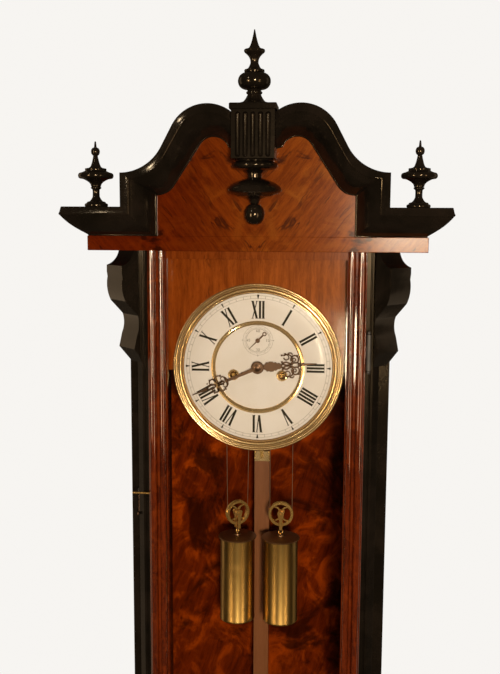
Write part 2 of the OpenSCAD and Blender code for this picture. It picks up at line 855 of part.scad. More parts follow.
// Movement bracket: an iron casting on the backboard with an arm for each side of the
// movement and a middle arm that carries the pendulum
module movement_bracket() {
    z0 = dial_z + plate_up;
    color(ebony) {
        block(-arm_x - arm_w / 2, arm_x + arm_w / 2, back_t, back_t + 5, z0 - 16, z0 + 12);
        both_sides() block(arm_x - arm_w / 2, arm_x + arm_w / 2, back_t + 5, plate_y, z0 - 10, z0);
        block(-arm_w / 2, arm_w / 2, back_t + 5, pend_y + 6, susp_z + susp_block_h, susp_z + susp_block_h + 8);
    }
}

// Brass chops that clamp the top of the suspension spring, with the pin they hang by
module suspension_block() {
    block(-5, 5, pend_y - 4, pend_y + 4, susp_z + 0.5, susp_z + susp_block_h);
}

module gong_post() {
    color(brass) {
        translate([0, 0, gong_z]) rod(7, back_t, gong_y + gong_d);
        translate([0, 0, gong_z]) rod(12, back_t, back_t + 3);
        block(0, gong_in + gong_d / 2, gong_y - 2.5, gong_y + 2.5, gong_z, gong_z + 5);
    }
    color(brass) suspension_block();
}

// Gong: one wire wound in a flat spiral from the post outwards
module gong_coil() {
    per_turn = 24;
    steps = gong_turns * per_turn;
    color(steel) skinned([
        for (k = [0 : steps]) let (
            a = k * 360 / per_turn,
            r = gong_in + (gong_r - gong_in) * k / steps
        ) [for (j = [0 : 5]) let (b = j * 60, q = r + gong_d / 2 * cos(b))
            [q * cos(a), -gong_y + gong_d / 2 * sin(b), gong_z - q * sin(a)]]
    ]);
}

pillar_places = [[pillar_x, plate_up - 8], [-pillar_x, plate_up - 8], [pillar_x, 8 - plate_down], [-pillar_x, 8 - plate_down]];

// Every arbor of the trains with its radius in the plates
arbors = [
    [[0, 0], arbor_d / 2], [[-wind[0], wind[1]], drum_arbor_r], [wind, drum_arbor_r], [third_p, arbor_d / 2],
    [escape_p, arbor_d / 2], [anchor_p, arbor_d / 2], [pin_p, arbor_d / 2], [warn_p, arbor_d / 2],
    [fly_p, arbor_d / 2], [hammer_p, arbor_d / 2]
];

module movement_plate(y0) {
    color(brass) slab(y0, y0 + plate_t) difference() {
        translate([-plate_w / 2, dial_z - plate_down]) square([plate_w, plate_up + plate_down]);
        for (a = arbors) translate([a[0][0], dial_z + a[0][1]]) circle(a[1] + bore_gap);
    }
}

module back_plate() {
    movement_plate(plate_y);
}

module front_plate() {
    movement_plate(front_plate_y);
    color(brass) at(minute_p) rod(stud_pin_r, plates_front, plates_front + 9.5);
}

module pillars() {
    color(brass) for (p = pillar_places) at(p) {
        rod(pillar_d / 2, plate_in, front_plate_y);
        rod(pillar_d / 2 + 1, plate_in, plate_in + 3);
        rod(pillar_d / 2 + 1, front_plate_y - 3, front_plate_y);
    }
    color(brass) for (p = pillar_places) at(p) rod(pillar_d / 2 - 1, plates_front, dial_back);
    color(brass) both_sides() at([post_line_x, line_post_z]) rod(line_post_r, plate_in, front_plate_y);
}

// Base plate of the dial, with the brass ring round the sunk centre and the grommets
module dial_plate() {
    color(brass) slab(dial_back, dial_back + dial_plate_t) translate([0, dial_z]) difference() {
        circle(bezel_d / 2 - 3);
        circle(centre_hole);
        translate([0, seconds_rise]) circle(2);
        for (s = [-1, 1]) translate([s * wind_x, -wind_z]) circle(winding_hole);
    }
    color(brass) translate([0, 0, dial_z]) turned(dial_back + dial_plate_t) polygon([
        [inner_ring_d / 2 - 4.8, 0], [inner_ring_d / 2 - 4.8, 3.2], [inner_ring_d / 2 - 3.4, 4.2],
        [inner_ring_d / 2 - 1.6, 3.4], [inner_ring_d / 2, 4], [inner_ring_d / 2, 0]
    ]);
    color(brass) for (s = [-1, 1]) translate([s * wind_x, 0, dial_z - wind_z])
        turned(dial_back + dial_plate_t) polygon([
            [winding_hole, 0], [winding_hole, 3], [winding_hole + 1.2, 3.4], [winding_hole + 1.8, 2.6],
            [winding_hole + 1.8, 2], [winding_hole + 1, 2], [winding_hole + 1, 0]
        ]);
}

// Enamel: the chapter ring and the sunk centre
module chapter_ring() {
    base = dial_back + dial_plate_t;
    color(enamel) slab(base, dial_y) translate([0, dial_z]) difference() {
        circle(chapter_d / 2);
        circle(inner_ring_d / 2);
    }
    color(enamel) slab(base, base + 1.5) translate([0, dial_z]) difference() {
        circle(inner_ring_d / 2 - 4.8);
        circle(centre_hole);
        translate([0, seconds_rise]) circle(2);
        for (s = [-1, 1]) translate([s * wind_x, -wind_z]) circle(winding_hole + 1);
    }
}

// Bezel with three turned beads
module bezel() {
    r0 = bezel_in;
    r1 = bezel_d / 2;
    color(brass) translate([0, 0, dial_z]) turned(dial_back + dial_plate_t) polygon(concat(
        [[r0, 2.9], [r0, 4.2]], arc_at([r0 + 2.2, 4.4], 1.8, 180, 20, 5), [[r0 + 4.4, 3.9]],
        arc_at([r0 + 6.4, 4.1], 1.5, 170, 10, 5), arc_at([r1 - 2.6, 3.2], 1.6, 160, 0, 5),
        [[r1, 2.6], [r1, 0], [r1 - 3.5, 0], [chapter_d / 2 + 0.2, 0], [chapter_d / 2 + 0.2, 2.9]]
    ));
}

// Trains

module drum(side) {
    color(brass) at([side * wind_x, -wind_z]) {
        rod(drum_d / 2, drum_y + flange_t, drum_y + drum_l - flange_t);
        rod(flange_d / 2, drum_y, drum_y + flange_t);
        rod(flange_d / 2, drum_y + drum_l - flange_t, drum_y + drum_l);
    }
    color(steel) at([side * wind_x, -wind_z]) {
        rod(drum_arbor_r, plate_y - 1, plates_front + 1);
        rod(drum_arbor_r + 1, drum_y + drum_l, front_plate_y - 0.5);
        rod(drum_arbor_r + 1, plate_in + 0.5, great_y - 0.5);
        slab(plates_front + 1, dial_y - 0.5) translate([-square_w / 2, -square_w / 2]) square(square_w);
    }
}

module going_drum() {
    drum(-1);
}

module strike_drum() {
    drum(1);
}

module going_great_wheel() {
    color(brass) at([-wind[0], wind[1]]) crossed_wheel(
        wheel_teeth(great_n, great_m, aim([-wind[0], wind[1]], [0, 0])), great_m * great_n / 2 - 3,
        6, drum_arbor_r + bore_gap, 5, great_y
    );
}

// Arbor of the train between its pivots
module train_arbor(p, back, front) {
    color(steel) at(p) rod(arbor_d / 2, back, front);
}

module centre_arbor() {
    train_arbor([0, 0], plate_y - 1, minute_hand_y - 1);
    color(steel) at([0, 0]) pinion(pinion_n, great_m, aim([0, 0], [-wind[0], wind[1]]) + 180 / pinion_n,
        great_y - pinion_over, great_y + wheel_t + pinion_over);
    color(brass) at([0, 0]) crossed_wheel(
        wheel_teeth(centre_n, centre_m, aim([0, 0], third_p)), centre_m * centre_n / 2 - 2.5,
        4, arbor_d / 2, 4, centre_y
    );
    color(steel) at([0, 0]) {
        pinion(cannon_n, motion_m, 90 + 180 / cannon_n, plates_front + 1, plates_front + 4);
        rod(cannon_r, plates_front + 1, minute_hand_y);
    }
}

module minute_wheel() {
    m0 = plates_front + 1.4;
    color(brass) at(minute_p) crossed_wheel(
        wheel_teeth(minute_n, motion_m, 90), motion_m * minute_n / 2 - 2.5, 4, stud_pin_r + bore_gap, 4, m0
    );
    color(brass) at(minute_p) slab(m0 + wheel_t, plates_front + 9) difference() {
        polygon(pinion_teeth(minute_pinion_n, hour_m, 90 + 180 / minute_pinion_n));
        circle(stud_pin_r + bore_gap);
    }
}

module hour_wheel() {
    h0 = plates_front + 6;
    color(brass) at([0, 0]) crossed_wheel(
        wheel_teeth(hour_n, hour_m, 270), hour_m * hour_n / 2 - 2.5, 4.6, cannon_r + bore_gap, 4, h0
    );
    color(brass) at([0, 0]) slab(h0 + wheel_t, hour_hand_y) difference() {
        circle(hour_pipe_r);
        circle(cannon_r + bore_gap);
    }
}

module third_wheel() {
    train_arbor(third_p, plate_y - 1, plates_front + 1);
    color(steel) at(third_p) pinion(pinion_n, centre_m, aim(third_p, [0, 0]) + 180 / pinion_n,
        centre_y - pinion_over, centre_y + wheel_t + pinion_over);
    color(brass) at(third_p) crossed_wheel(
        wheel_teeth(third_n, third_m, aim(third_p, escape_p)), third_m * third_n / 2 - 2.2,
        3.5, arbor_d / 2, 4, third_y
    );
}

module escape_wheel() {
    r = escape_d / 2;
    claws = [
        for (i = [0 : escape_n - 1]) for (p = [[r - 2.6, 0], [r, 0.52], [r, 0.6], [r - 2.6, 0.5]])
            let (a = 90 + escape_turn - (i + p[1]) * 360 / escape_n) p[0] * [cos(a), sin(a)]
    ];
    train_arbor(escape_p, plate_y - 1, plates_front + 1);
    color(steel) at(escape_p) {
        rod(0.9, plates_front + 1, seconds_hand_y);
        pinion(pinion_n, third_m, aim(escape_p, third_p) + 180 / pinion_n,
            third_y - pinion_over, third_y + wheel_t + pinion_over);
    }
    color(brass) at(escape_p) crossed_wheel(claws, r - 4.4, 3.5, arbor_d / 2, 5, escape_y);
}

// Anchor with its two pallets, its arbor, and the crutch that reaches down to the pendulum
module anchor() {
    r = escape_d / 2 + pallet_gap;
    reach = susp_rise - seconds_rise;
    train_arbor(anchor_p, crutch_y - 2, plates_front + 1);
    color(steel) at(anchor_p) slab(escape_y - 0.5, escape_y + wheel_t + 0.5) difference() {
        union() {
            circle(3.4);
            polygon([[-2.5, 2.6], [2.5, 2.6], [11.5, -4], [13.2, -7], [-13.2, -7], [-11.5, -4]]);
            for (s = [-1, 1]) polygon([[s * 10.4, -5], [s * 14.6, -5.5], [s * 13.4, -12], [s * 11.4, -11]]);
        }
        translate([0, -reach]) circle(r);
    }
    color(steel) {
        slab(crutch_y - 1.6, crutch_y) polygon([
            [-3, susp_z + 4], [3, susp_z + 4], [1.6, susp_z - 10], [1.6, head_z - 8], [-1.6, head_z - 8], [-1.6, susp_z - 10]
        ]);
        translate([0, 0, head_z - head_h / 2]) rod(1.1, pend_y - 3, crutch_y - 1.6);
    }
}

// Hands, drawn pointing up and turned to the time shown
module scroll_pair(z, w, h, bar) {
    for (s = [-1, 1]) translate([s * w * 0.5, z]) difference() {
        scale_ring(w * 0.5, h * 0.5);
        scale_ring(w * 0.5 - bar, h * 0.5 - bar);
    }
}

// Rounded lobe made of two crossing circles
module scale_ring(a, b) {
    r = (a * a + b * b) / (2 * a);
    intersection() {
        translate([r - a, 0]) circle(r);
        translate([a - r, 0]) circle(r);
    }
}

module minute_shape() {
    l = minute_len;
    polygon([[-2, 0], [2, 0], [1.6, 0.45 * l], [-1.6, 0.45 * l]]);
    translate([-5, 0.46 * l]) square([10, 1.6]);
    translate([0, 0.46 * l + 0.8]) circle(2.6);
    scroll_pair(0.60 * l, 8.5, 0.22 * l, 1.3);
    scroll_pair(0.56 * l, 4.5, 0.12 * l, 1.1);
    translate([-0.7, 0.48 * l]) square([1.4, 0.25 * l]);
    polygon([[-2.4, 0.70 * l], [2.4, 0.70 * l], [0.9, 0.80 * l], [0.25, l], [-0.25, l], [-0.9, 0.80 * l]]);
}

module hour_shape() {
    l = hour_len;
    polygon([[-2.6, 0], [2.6, 0], [5.4, 0.18 * l], [3.2, 0.30 * l], [5.0, 0.36 * l], [1.6, 0.42 * l],
        [-1.6, 0.42 * l], [-5.0, 0.36 * l], [-3.2, 0.30 * l], [-5.4, 0.18 * l]]);
    scroll_pair(0.54 * l, 14.5, 0.28 * l, 1.8);
    scroll_pair(0.50 * l, 8, 0.18 * l, 1.4);
    translate([-0.9, 0.40 * l]) square([1.8, 0.32 * l]);
    polygon([[-3.4, 0.66 * l], [3.4, 0.66 * l], [1.1, 0.76 * l], [0.3, l], [-0.3, l], [-1.1, 0.76 * l]]);
}

module minute_hand() {
    color(bronze) translate([0, 0, dial_z]) slab(minute_hand_y, minute_hand_y + hand_t) rotate(-6 * show_min) union() {
        circle(6.5);
        minute_shape();
    }
    color(brass) translate([0, 0, dial_z]) turned(minute_hand_y + hand_t)
        polygon([[0, 0], [4.2, 0], [4.2, 0.8], [2.6, 1.5], [0, 1.7]]);
}

module hour_hand() {
    color(bronze) translate([0, 0, dial_z]) slab(hour_hand_y, hour_hand_y + hand_t) difference() {
        rotate(-30 * show_hour) union() {
            circle(7.5);
            hour_shape();
        }
        circle(cannon_r + bore_gap);
    }
}

module seconds_hand() {
    color(bronze) at(escape_p) slab(seconds_hand_y, seconds_hand_y + hand_t) rotate(seconds_turn) difference() {
        union() {
            circle(2.6);
            polygon([
                [-0.9, -seconds_len * 0.6], [0.9, -seconds_len * 0.6], [0.7, 0], [0.25, seconds_len],
                [-0.25, seconds_len], [-0.7, 0]
            ]);
            translate([0, -seconds_len * 0.78]) circle(2.4);
        }
        translate([0, -seconds_len * 0.78]) circle(1.3);
    }
}

// Strike train

module strike_train_great() {
    color(brass) at(wind) crossed_wheel(
        wheel_teeth(strike_n, strike_m, aim(wind, pin_p)), strike_m * strike_n / 2 - 3,
        6, drum_arbor_r + bore_gap, 5, strike_y
    );
}

module pin_wheel() {
    train_arbor(pin_p, plate_y - 1, plates_front + 1);
    color(steel) at(pin_p) pinion(strike_pinion_n, strike_m, aim(pin_p, wind) + 180 / strike_pinion_n,
        strike_y - pinion_over, strike_y + wheel_t + pinion_over);
    color(brass) at(pin_p) crossed_wheel(
        wheel_teeth(pin_n, pin_m, aim(pin_p, warn_p)), pin_m * pin_n / 2 - 4.5, 4, arbor_d / 2, 4, great_y
    );
    color(steel) at(pin_p) for (i = [0 : 7]) rotate([0, i * 45 + 10, 0]) translate([13, 0, 0])
        rod(0.8, great_y - 2.5, great_y);
}

module warning_wheel() {
    train_arbor(warn_p, plate_y - 1, plates_front + 1);
    color(steel) at(warn_p) pinion(pinion_n, pin_m, aim(warn_p, pin_p) + 180 / pinion_n,
        great_y - pinion_over, great_y + wheel_t + pinion_over);
    color(brass) at(warn_p) crossed_wheel(
        wheel_teeth(warn_n, warn_m, aim(warn_p, fly_p)), warn_m * warn_n / 2 - 2.2, 3.2, arbor_d / 2, 4, warn_y
    );
}

module fly() {
    train_arbor(fly_p, plate_y - 1, plates_front + 1);
    color(steel) at(fly_p) pinion(pinion_n, warn_m, aim(fly_p, warn_p) + 180 / pinion_n,
        warn_y - pinion_over, warn_y + wheel_t + pinion_over);
    color(brass) at(fly_p) {
        slab(strike_y + 2, strike_y + 18) translate([-fly_r, -0.4]) square([2 * fly_r, 0.8]);
        rod(2, strike_y + 1, strike_y + 19);
    }
}

// Hammer: its arbor, the tail lifted by the pins, the arm behind the plate, and the head by the gong
module hammer() {
    head = [gong_r + gong_d / 2 + 2.8 + hammer_len / 2, gong_z - dial_z - 8];
    foot = hammer_p - (hammer_p - pin_p) / norm(hammer_p - pin_p) * tail_l;
    train_arbor(hammer_p, crutch_y - 2, plates_front + 1);
    color(steel) slab(great_y - 2.4, great_y - 0.6) hull() {
        translate([hammer_p[0], dial_z + hammer_p[1]]) circle(2.6);
        translate([foot[0], dial_z + foot[1]]) circle(1);
    }
    color(steel) slab(crutch_y - 2, crutch_y - 0.4) hull() {
        translate([hammer_p[0], dial_z + hammer_p[1]]) circle(3);
        translate([head[0], dial_z + head[1]]) circle(2);
    }
    color(steel) at(head) rod(1.4, gong_y, crutch_y - 1);
    color(brass) translate([head[0] - hammer_len / 2, -gong_y, dial_z + head[1]]) rotate([0, 90, 0])
        cylinder(r = 4.5, h = hammer_len);
}

// Pendulum

module pendulum_rod() {
    color(pine) block(-rod_w / 2, rod_w / 2, pend_y - rod_t / 2, pend_y + rod_t / 2, rod_end, head_z - head_h);
}

module pendulum_fittings() {
    color(steel) for (x = [-3, 3]) block(x - 1.2, x + 1.2, pend_y - 0.15, pend_y + 0.15, susp_z - pend_spring, susp_z + 0.2);
    color(brass) block(-5, 5, pend_y - 3, pend_y + 3, susp_z - pend_spring - 8, susp_z - pend_spring);
    color(steel) translate([0, -pend_y, head_z]) cylinder(r = 2.4, h = susp_z - pend_spring - 8 - head_z);
    color(brass) difference() {
        block(-rod_w / 2, rod_w / 2, pend_y - rod_t / 2 + 0.5, pend_y + rod_t / 2 - 0.5, head_z - head_h, head_z);
        translate([0, 0, head_z - head_h / 2]) rod(1.8, 0, pend_y * 2);
    }
    color(steel) translate([0, -pend_y, rod_end - 22]) cylinder(r = 1.5, h = 22);
    color(brass) translate([0, -pend_y, rod_end - 9]) cylinder(r = 7, h = 5);
}

// Bob: a brass lens, thicker in the middle, slotted for the rod
module pendulum_bob() {
    r = bob_d / 2;
    h = bob_t / 2;
    color(brass) difference() {
        translate([0, 0, bob_z]) turned(pend_y) polygon(concat(
            [for (i = [0 : 12]) let (t = i / 12) [r * t, 2.5 + (h - 2.5) * (1 - t * t)]],
            [for (i = [12 : -1 : 0]) let (t = i / 12) [r * t, -2.5 - (h - 2.5) * (1 - t * t)]]
        ));
        block(-rod_w / 2, rod_w / 2, pend_y - rod_t / 2, pend_y + rod_t / 2, bob_z - r - 1, bob_z + r + 1);
    }
}

// Weights: a brass shell with rolled rims and a dark cap, hung from a pulley in a stirrup

module weight(side) {
    r = weight_d / 2;
    rim = weight_rim_d / 2;
    z0 = weight_z - weight_h;
    color(brass) translate([side * pulley_x, -line_y, z0]) turning(concat(
        [[r - 3, 0], [rim - 1.5, 0.6], [rim, 2.4], [rim, 3.4], [r, 5]],
        [[r, weight_h - 5], [rim, weight_h - 3.4], [rim, weight_h - 1.6], [rim - 0.8, weight_h - 0.6],
            [rim - 2, weight_h - 0.2], [6, weight_h + 1.2]]
    ));
    color(steel) translate([side * pulley_x, -line_y, weight_z + 1.2]) {
        turning([[4, 0], [4, 1.4], [2.2, 2.6]]);
        cylinder(r = 1.1, h = hook_rise);
    }
    color(brass) translate([side * pulley_x, -line_y, pulley_z]) rotate([0, 0, side < 0 ? pulley_turn : 0]) {
        difference() {
            rotate([90, 0, 0]) translate([0, 0, -cheek_out]) linear_extrude(2 * cheek_out)
                polygon([[-2.6, -pulley_d / 2 - 4.5], [2.6, -pulley_d / 2 - 4.5], [2.2, 2], [-2.2, 2]]);
            rotate([90, 0, 0]) translate([0, 0, 0.8 - cheek_out]) linear_extrude(2 * cheek_out - 1.6)
                translate([-5, -pulley_d / 2 - 1.2]) square([10, pulley_d]);
        }
        rotate([90, 0, 0]) translate([0, 0, -cheek_out]) cylinder(r = 1.1, h = 2 * cheek_out);
    }
}

module going_weight() {
    weight(-1);
}

module strike_weight() {
    weight(1);
}

// Grooved pulley with four curved spokes
module pulley(side) {
    r = pulley_d / 2;
    color(brass) translate([side * pulley_x, -line_y, pulley_z]) rotate([0, 0, side < 0 ? pulley_turn : 0]) rotate([90, 0, 0]) {
        rotate_extrude() polygon([
            [r - 3.4, -pulley_t / 2], [r, -pulley_t / 2], [r, 0.4 - pulley_t / 2], [pulley_r - gut_d / 2 - gap, -gut_d / 2 - gap],
            [pulley_r - gut_d / 2 - gap, gut_d / 2 + gap], [r, pulley_t / 2 - 0.4], [r, pulley_t / 2], [r - 3.4, pulley_t / 2]
        ]);
        translate([0, 0, -0.7]) linear_extrude(1.4) difference() {
            union() {
                circle(3);
                for (i = [0 : 3]) rotate(i * 90 + 25) intersection() {
                    translate([0, -9]) difference() {
                        circle(10);
                        circle(8.4);
                    }
                    translate([0, -4]) square([r - 3.2, 8]);
                }
            }
            circle(1.1 + bore_gap);
        }
        translate([0, 0, -pulley_t / 2]) linear_extrude(pulley_t) difference() {
            circle(2.6);
            circle(1.1 + bore_gap);
        }
    }
}

module going_pulley() {
    pulley(-1);
}

module strike_pulley() {
    pulley(1);
}

// Gut line: down from the drum, under the pulley, and up to the post between the plates
module line(side) {
    low = pulley_z - dial_z;
    twist = side < 0 ? pulley_turn : 0;
    out = pulley_r * sin(twist);
    bend = [
        for (i = [0 : 12]) let (a = -i * 15)
            [pulley_x + pulley_r * cos(twist) * cos(a), -out * cos(a), low + pulley_r * sin(a)]
    ];
    route = concat(
        [[wind_x + line_r, -out, -wind_z]], bend, [[post_line_x, out, line_post_z - line_post_r - gut_d / 2]]
    );
    path = [for (p = route) p + [0, -line_y, dial_z]];
    last = len(path) - 1;
    color(gut) scale_side(side) skinned([
        for (k = [0 : last]) let (
            ahead = path[min(k + 1, last)] - path[max(k - 1, 0)],
            d = ahead / norm(ahead),
            n = [-d[2], 0, d[0]] / norm([d[2], d[0]])
        ) [for (j = [0 : 5]) let (b = j * 60) path[k] + gut_d / 2 * (n * cos(b) + cross(n, d) * sin(b))]
    ]);
}

module scale_side(side) {
    if (side < 0) mirror([1, 0, 0]) children();
    else children();
}

module going_line() {
    line(-1);
}

module strike_line() {
    line(1);
}

backboard();
hanger_plate();
side_frames();
side_glasses();
case_boards();
front_posts();
dial_mask();
frieze();
pediment_panel();
cornice_moulding();
fluted_block();
middle_finial();
pendant();
side_finials();
corbels();
base_moulding();
base_apron();
drop_finials();
beat_plate();
door_frame();
door_top_rail();
door_glass();
door_hinges();
hinge_pins();
door_hook();
movement_bracket();
gong_post();
gong_coil();
back_plate();
front_plate();
pillars();
dial_plate();
chapter_ring();
bezel();
going_drum();
going_great_wheel();
centre_arbor();
minute_hand();
minute_wheel();
hour_wheel();
hour_hand();
third_wheel();
escape_wheel();
seconds_hand();
anchor();
pendulum_rod();
pendulum_fittings();
pendulum_bob();
strike_drum();
strike_train_great();
pin_wheel();
warning_wheel();
fly();
hammer();
going_weight();
strike_weight();
going_pulley();
strike_pulley();
going_line();
strike_line();
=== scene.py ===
import math

import bmesh
import bpy
from mathutils import Matrix, Vector


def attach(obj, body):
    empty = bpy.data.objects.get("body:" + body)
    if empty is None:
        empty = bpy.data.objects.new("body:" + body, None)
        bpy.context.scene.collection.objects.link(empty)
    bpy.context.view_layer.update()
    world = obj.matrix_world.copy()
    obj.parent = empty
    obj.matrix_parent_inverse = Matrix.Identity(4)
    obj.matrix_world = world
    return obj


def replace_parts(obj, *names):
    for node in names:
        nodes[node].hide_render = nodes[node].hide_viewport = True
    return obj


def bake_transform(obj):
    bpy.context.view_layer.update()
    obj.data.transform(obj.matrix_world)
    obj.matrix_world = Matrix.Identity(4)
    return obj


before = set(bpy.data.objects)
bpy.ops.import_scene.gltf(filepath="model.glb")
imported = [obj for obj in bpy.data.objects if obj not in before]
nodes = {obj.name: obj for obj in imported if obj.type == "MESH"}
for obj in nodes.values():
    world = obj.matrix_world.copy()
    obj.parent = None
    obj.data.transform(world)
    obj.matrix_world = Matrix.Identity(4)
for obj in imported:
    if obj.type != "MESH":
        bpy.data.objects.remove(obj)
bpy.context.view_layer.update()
print("frame loaded", len(nodes), "nodes")

mm = 0.001
dialZ = -205
smoothLimit = math.radians(32)
materials = {}


def at(x, y, z):
    # x to the right, y out from the wall, z up, all in millimetres
    return Vector((x, -y, z)) * mm


def linked(name, data):
    obj = bpy.data.objects.new(name, data)
    bpy.context.scene.collection.objects.link(obj)
    return obj


def newObject(name, bm, body, key, smooth=True):
    bmesh.ops.recalc_face_normals(bm, faces=bm.faces)
    mesh = bpy.data.meshes.new(name)
    bm.to_mesh(mesh)
    bm.free()
    obj = linked(name, mesh)
    mesh.materials.append(materials[key])
    if smooth:
        for face in mesh.polygons:
            face.use_smooth = True
        mesh.set_sharp_from_angle(angle=smoothLimit)
    if body:
        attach(obj, body)
    return obj


# Shader helpers
def feed(tree, node, sockets):
    # A socket takes a link where an output is given, otherwise a constant
    for key, value in sockets.items():
        socket = node.inputs[key]
        if hasattr(value, "is_output"):
            tree.links.new(value, socket)
        else:
            socket.default_value = (*value, 1) if socket.type == "RGBA" else value
    return node


def addNode(tree, kind, sockets, **settings):
    node = tree.nodes.new("ShaderNode" + kind)
    for key, value in settings.items():
        setattr(node, key, value)
    return feed(tree, node, sockets)


def noiseNode(tree, vector, scale, detail, rough, distortion=0):
    return addNode(tree, "TexNoise", {
        "Vector": vector, "Scale": scale, "Detail": detail, "Roughness": rough, "Distortion": distortion,
    }).outputs["Fac"]


def rangeNode(tree, value, low, high, outLow=0, outHigh=1):
    return addNode(tree, "MapRange", {
        "Value": value, "From Min": low, "From Max": high, "To Min": outLow, "To Max": outHigh,
    }, interpolation_type="SMOOTHSTEP").outputs["Result"]


def mixColour(tree, fac, a, b, blend="MIX"):
    return addNode(tree, "Mix", {0: fac, 6: a, 7: b}, data_type="RGBA", blend_type=blend).outputs[2]


def mathNode(tree, operation, a, b=0):
    return addNode(tree, "Math", {0: a, 1: b}, operation=operation).outputs[0]


def times(tree, a, b):
    return mathNode(tree, "MULTIPLY", a, b)


def plus(tree, a, b):
    return mathNode(tree, "ADD", a, b)


def objectCoords(tree):
    return addNode(tree, "TexCoord", {}).outputs["Object"]


def mapped(tree, source, scale, rotation=(0, 0, 0)):
    return addNode(tree, "Mapping", {"Vector": source, "Rotation": rotation, "Scale": scale}).outputs["Vector"]


def mirroredCoords(tree):
    parts = addNode(tree, "SeparateXYZ", {0: objectCoords(tree)}).outputs
    across = mathNode(tree, "ABSOLUTE", parts[0])
    return addNode(tree, "CombineXYZ", {0: across, 1: parts[1], 2: parts[2]}).outputs[0]


def newGroup(name, inputs, outputs):
    tree = bpy.data.node_groups.new(name, "ShaderNodeTree")
    for title, kind in inputs.items():
        tree.interface.new_socket(title, in_out="INPUT", socket_type="NodeSocket" + kind)
    for title in outputs:
        tree.interface.new_socket(title, in_out="OUTPUT", socket_type="NodeSocketFloat")
    return tree, tree.nodes.new("NodeGroupInput"), tree.nodes.new("NodeGroupOutput")


# Each noise is (scale, detail, roughness, distortion)
grainNoise = {
    "bend": (14, 4, 0.55, 0.6), "streak": (190, 6, 0.62), "fine": (900, 3, 0.6), "pores": (1500, 1, 0.5),
    "figure": (38, 5, 0.6, 1.1), "line": (55, 3, 0.55, 0.3), "patch": (45, 2, 0.5),
}
wearNoise = {
    "wave": (60, 2, 0.5, 0.4), "dust": (420, 6, 0.7), "patch": (18, 3, 0.6), "marks": (900, 2, 0.5, 2),
}


def makeGrainGroup(s):
    # Streaks along local X of the vector handed in, with pores, veins and a slow wandering figure
    tree, entry, leave = newGroup(
        "woodGrain", {"Vector": "Vector", "Figure": "Float"}, ("Streak", "Figure", "Pores", "Veins", "Bump"))
    vector = entry.outputs["Vector"]
    bent = addNode(tree, "VectorMath", {
        0: noiseNode(tree, vector, *s["bend"]), 1: (0.02, 0.012, 0.012), 2: vector,
    }, operation="MULTIPLY_ADD").outputs[0]
    squeezed = mapped(tree, bent, (0.09, 1, 1))
    streak = noiseNode(tree, squeezed, *s["streak"])
    fine = noiseNode(tree, squeezed, *s["fine"])
    mixed = plus(tree, times(tree, streak, 0.7), times(tree, fine, 0.3))
    pores = rangeNode(tree, noiseNode(tree, mapped(tree, vector, (0.16, 1, 1)), *s["pores"]), 0.6, 0.74)
    offLine = mathNode(tree, "SUBTRACT", noiseNode(tree, squeezed, *s["line"]), 0.5)
    line = rangeNode(tree, mathNode(tree, "ABSOLUTE", offLine), 0, 0.022, 1, 0)
    patch = rangeNode(tree, noiseNode(tree, vector, *s["patch"]), 0.45, 0.65)
    feed(tree, leave, {
        "Streak": mixed, "Pores": pores, "Veins": times(tree, line, patch),
        "Figure": times(tree, noiseNode(tree, vector, *s["figure"]), entry.outputs["Figure"]),
        "Bump": mathNode(tree, "SUBTRACT", mixed, times(tree, pores, 0.6)),
    })
    return tree


def makeWearGroup(s):
    # Soft waviness, dust and fine wear marks
    tree, entry, leave = newGroup("surfaceWear", {"Vector": "Vector"}, ("Wave", "Dust", "Marks"))
    vector = entry.outputs["Vector"]
    wave, dust, patch, marks = (noiseNode(tree, vector, *s[key]) for key in ("wave", "dust", "patch", "marks"))
    feed(tree, leave, {
        "Wave": wave, "Dust": times(tree, rangeNode(tree, dust, 0.45, 0.75), rangeNode(tree, patch, 0.4, 0.7)),
        "Marks": rangeNode(tree, marks, 0.62, 0.72),
    })
    return tree


grainGroup = makeGrainGroup(grainNoise)
wearGroup = makeWearGroup(wearNoise)


def startMaterial(name):
    material = bpy.data.materials.new(name)
    material.use_nodes = True
    tree = material.node_tree
    return material, tree, tree.nodes["Principled BSDF"]


def grouped(tree, group, vector, **inputs):
    node = addNode(tree, "Group", {}, node_tree=group)
    return feed(tree, node, {"Vector": vector, **inputs}).outputs


def bumped(tree, height, strength, distance):
    return addNode(tree, "Bump", {"Height": height, "Strength": strength, "Distance": distance}).outputs["Normal"]


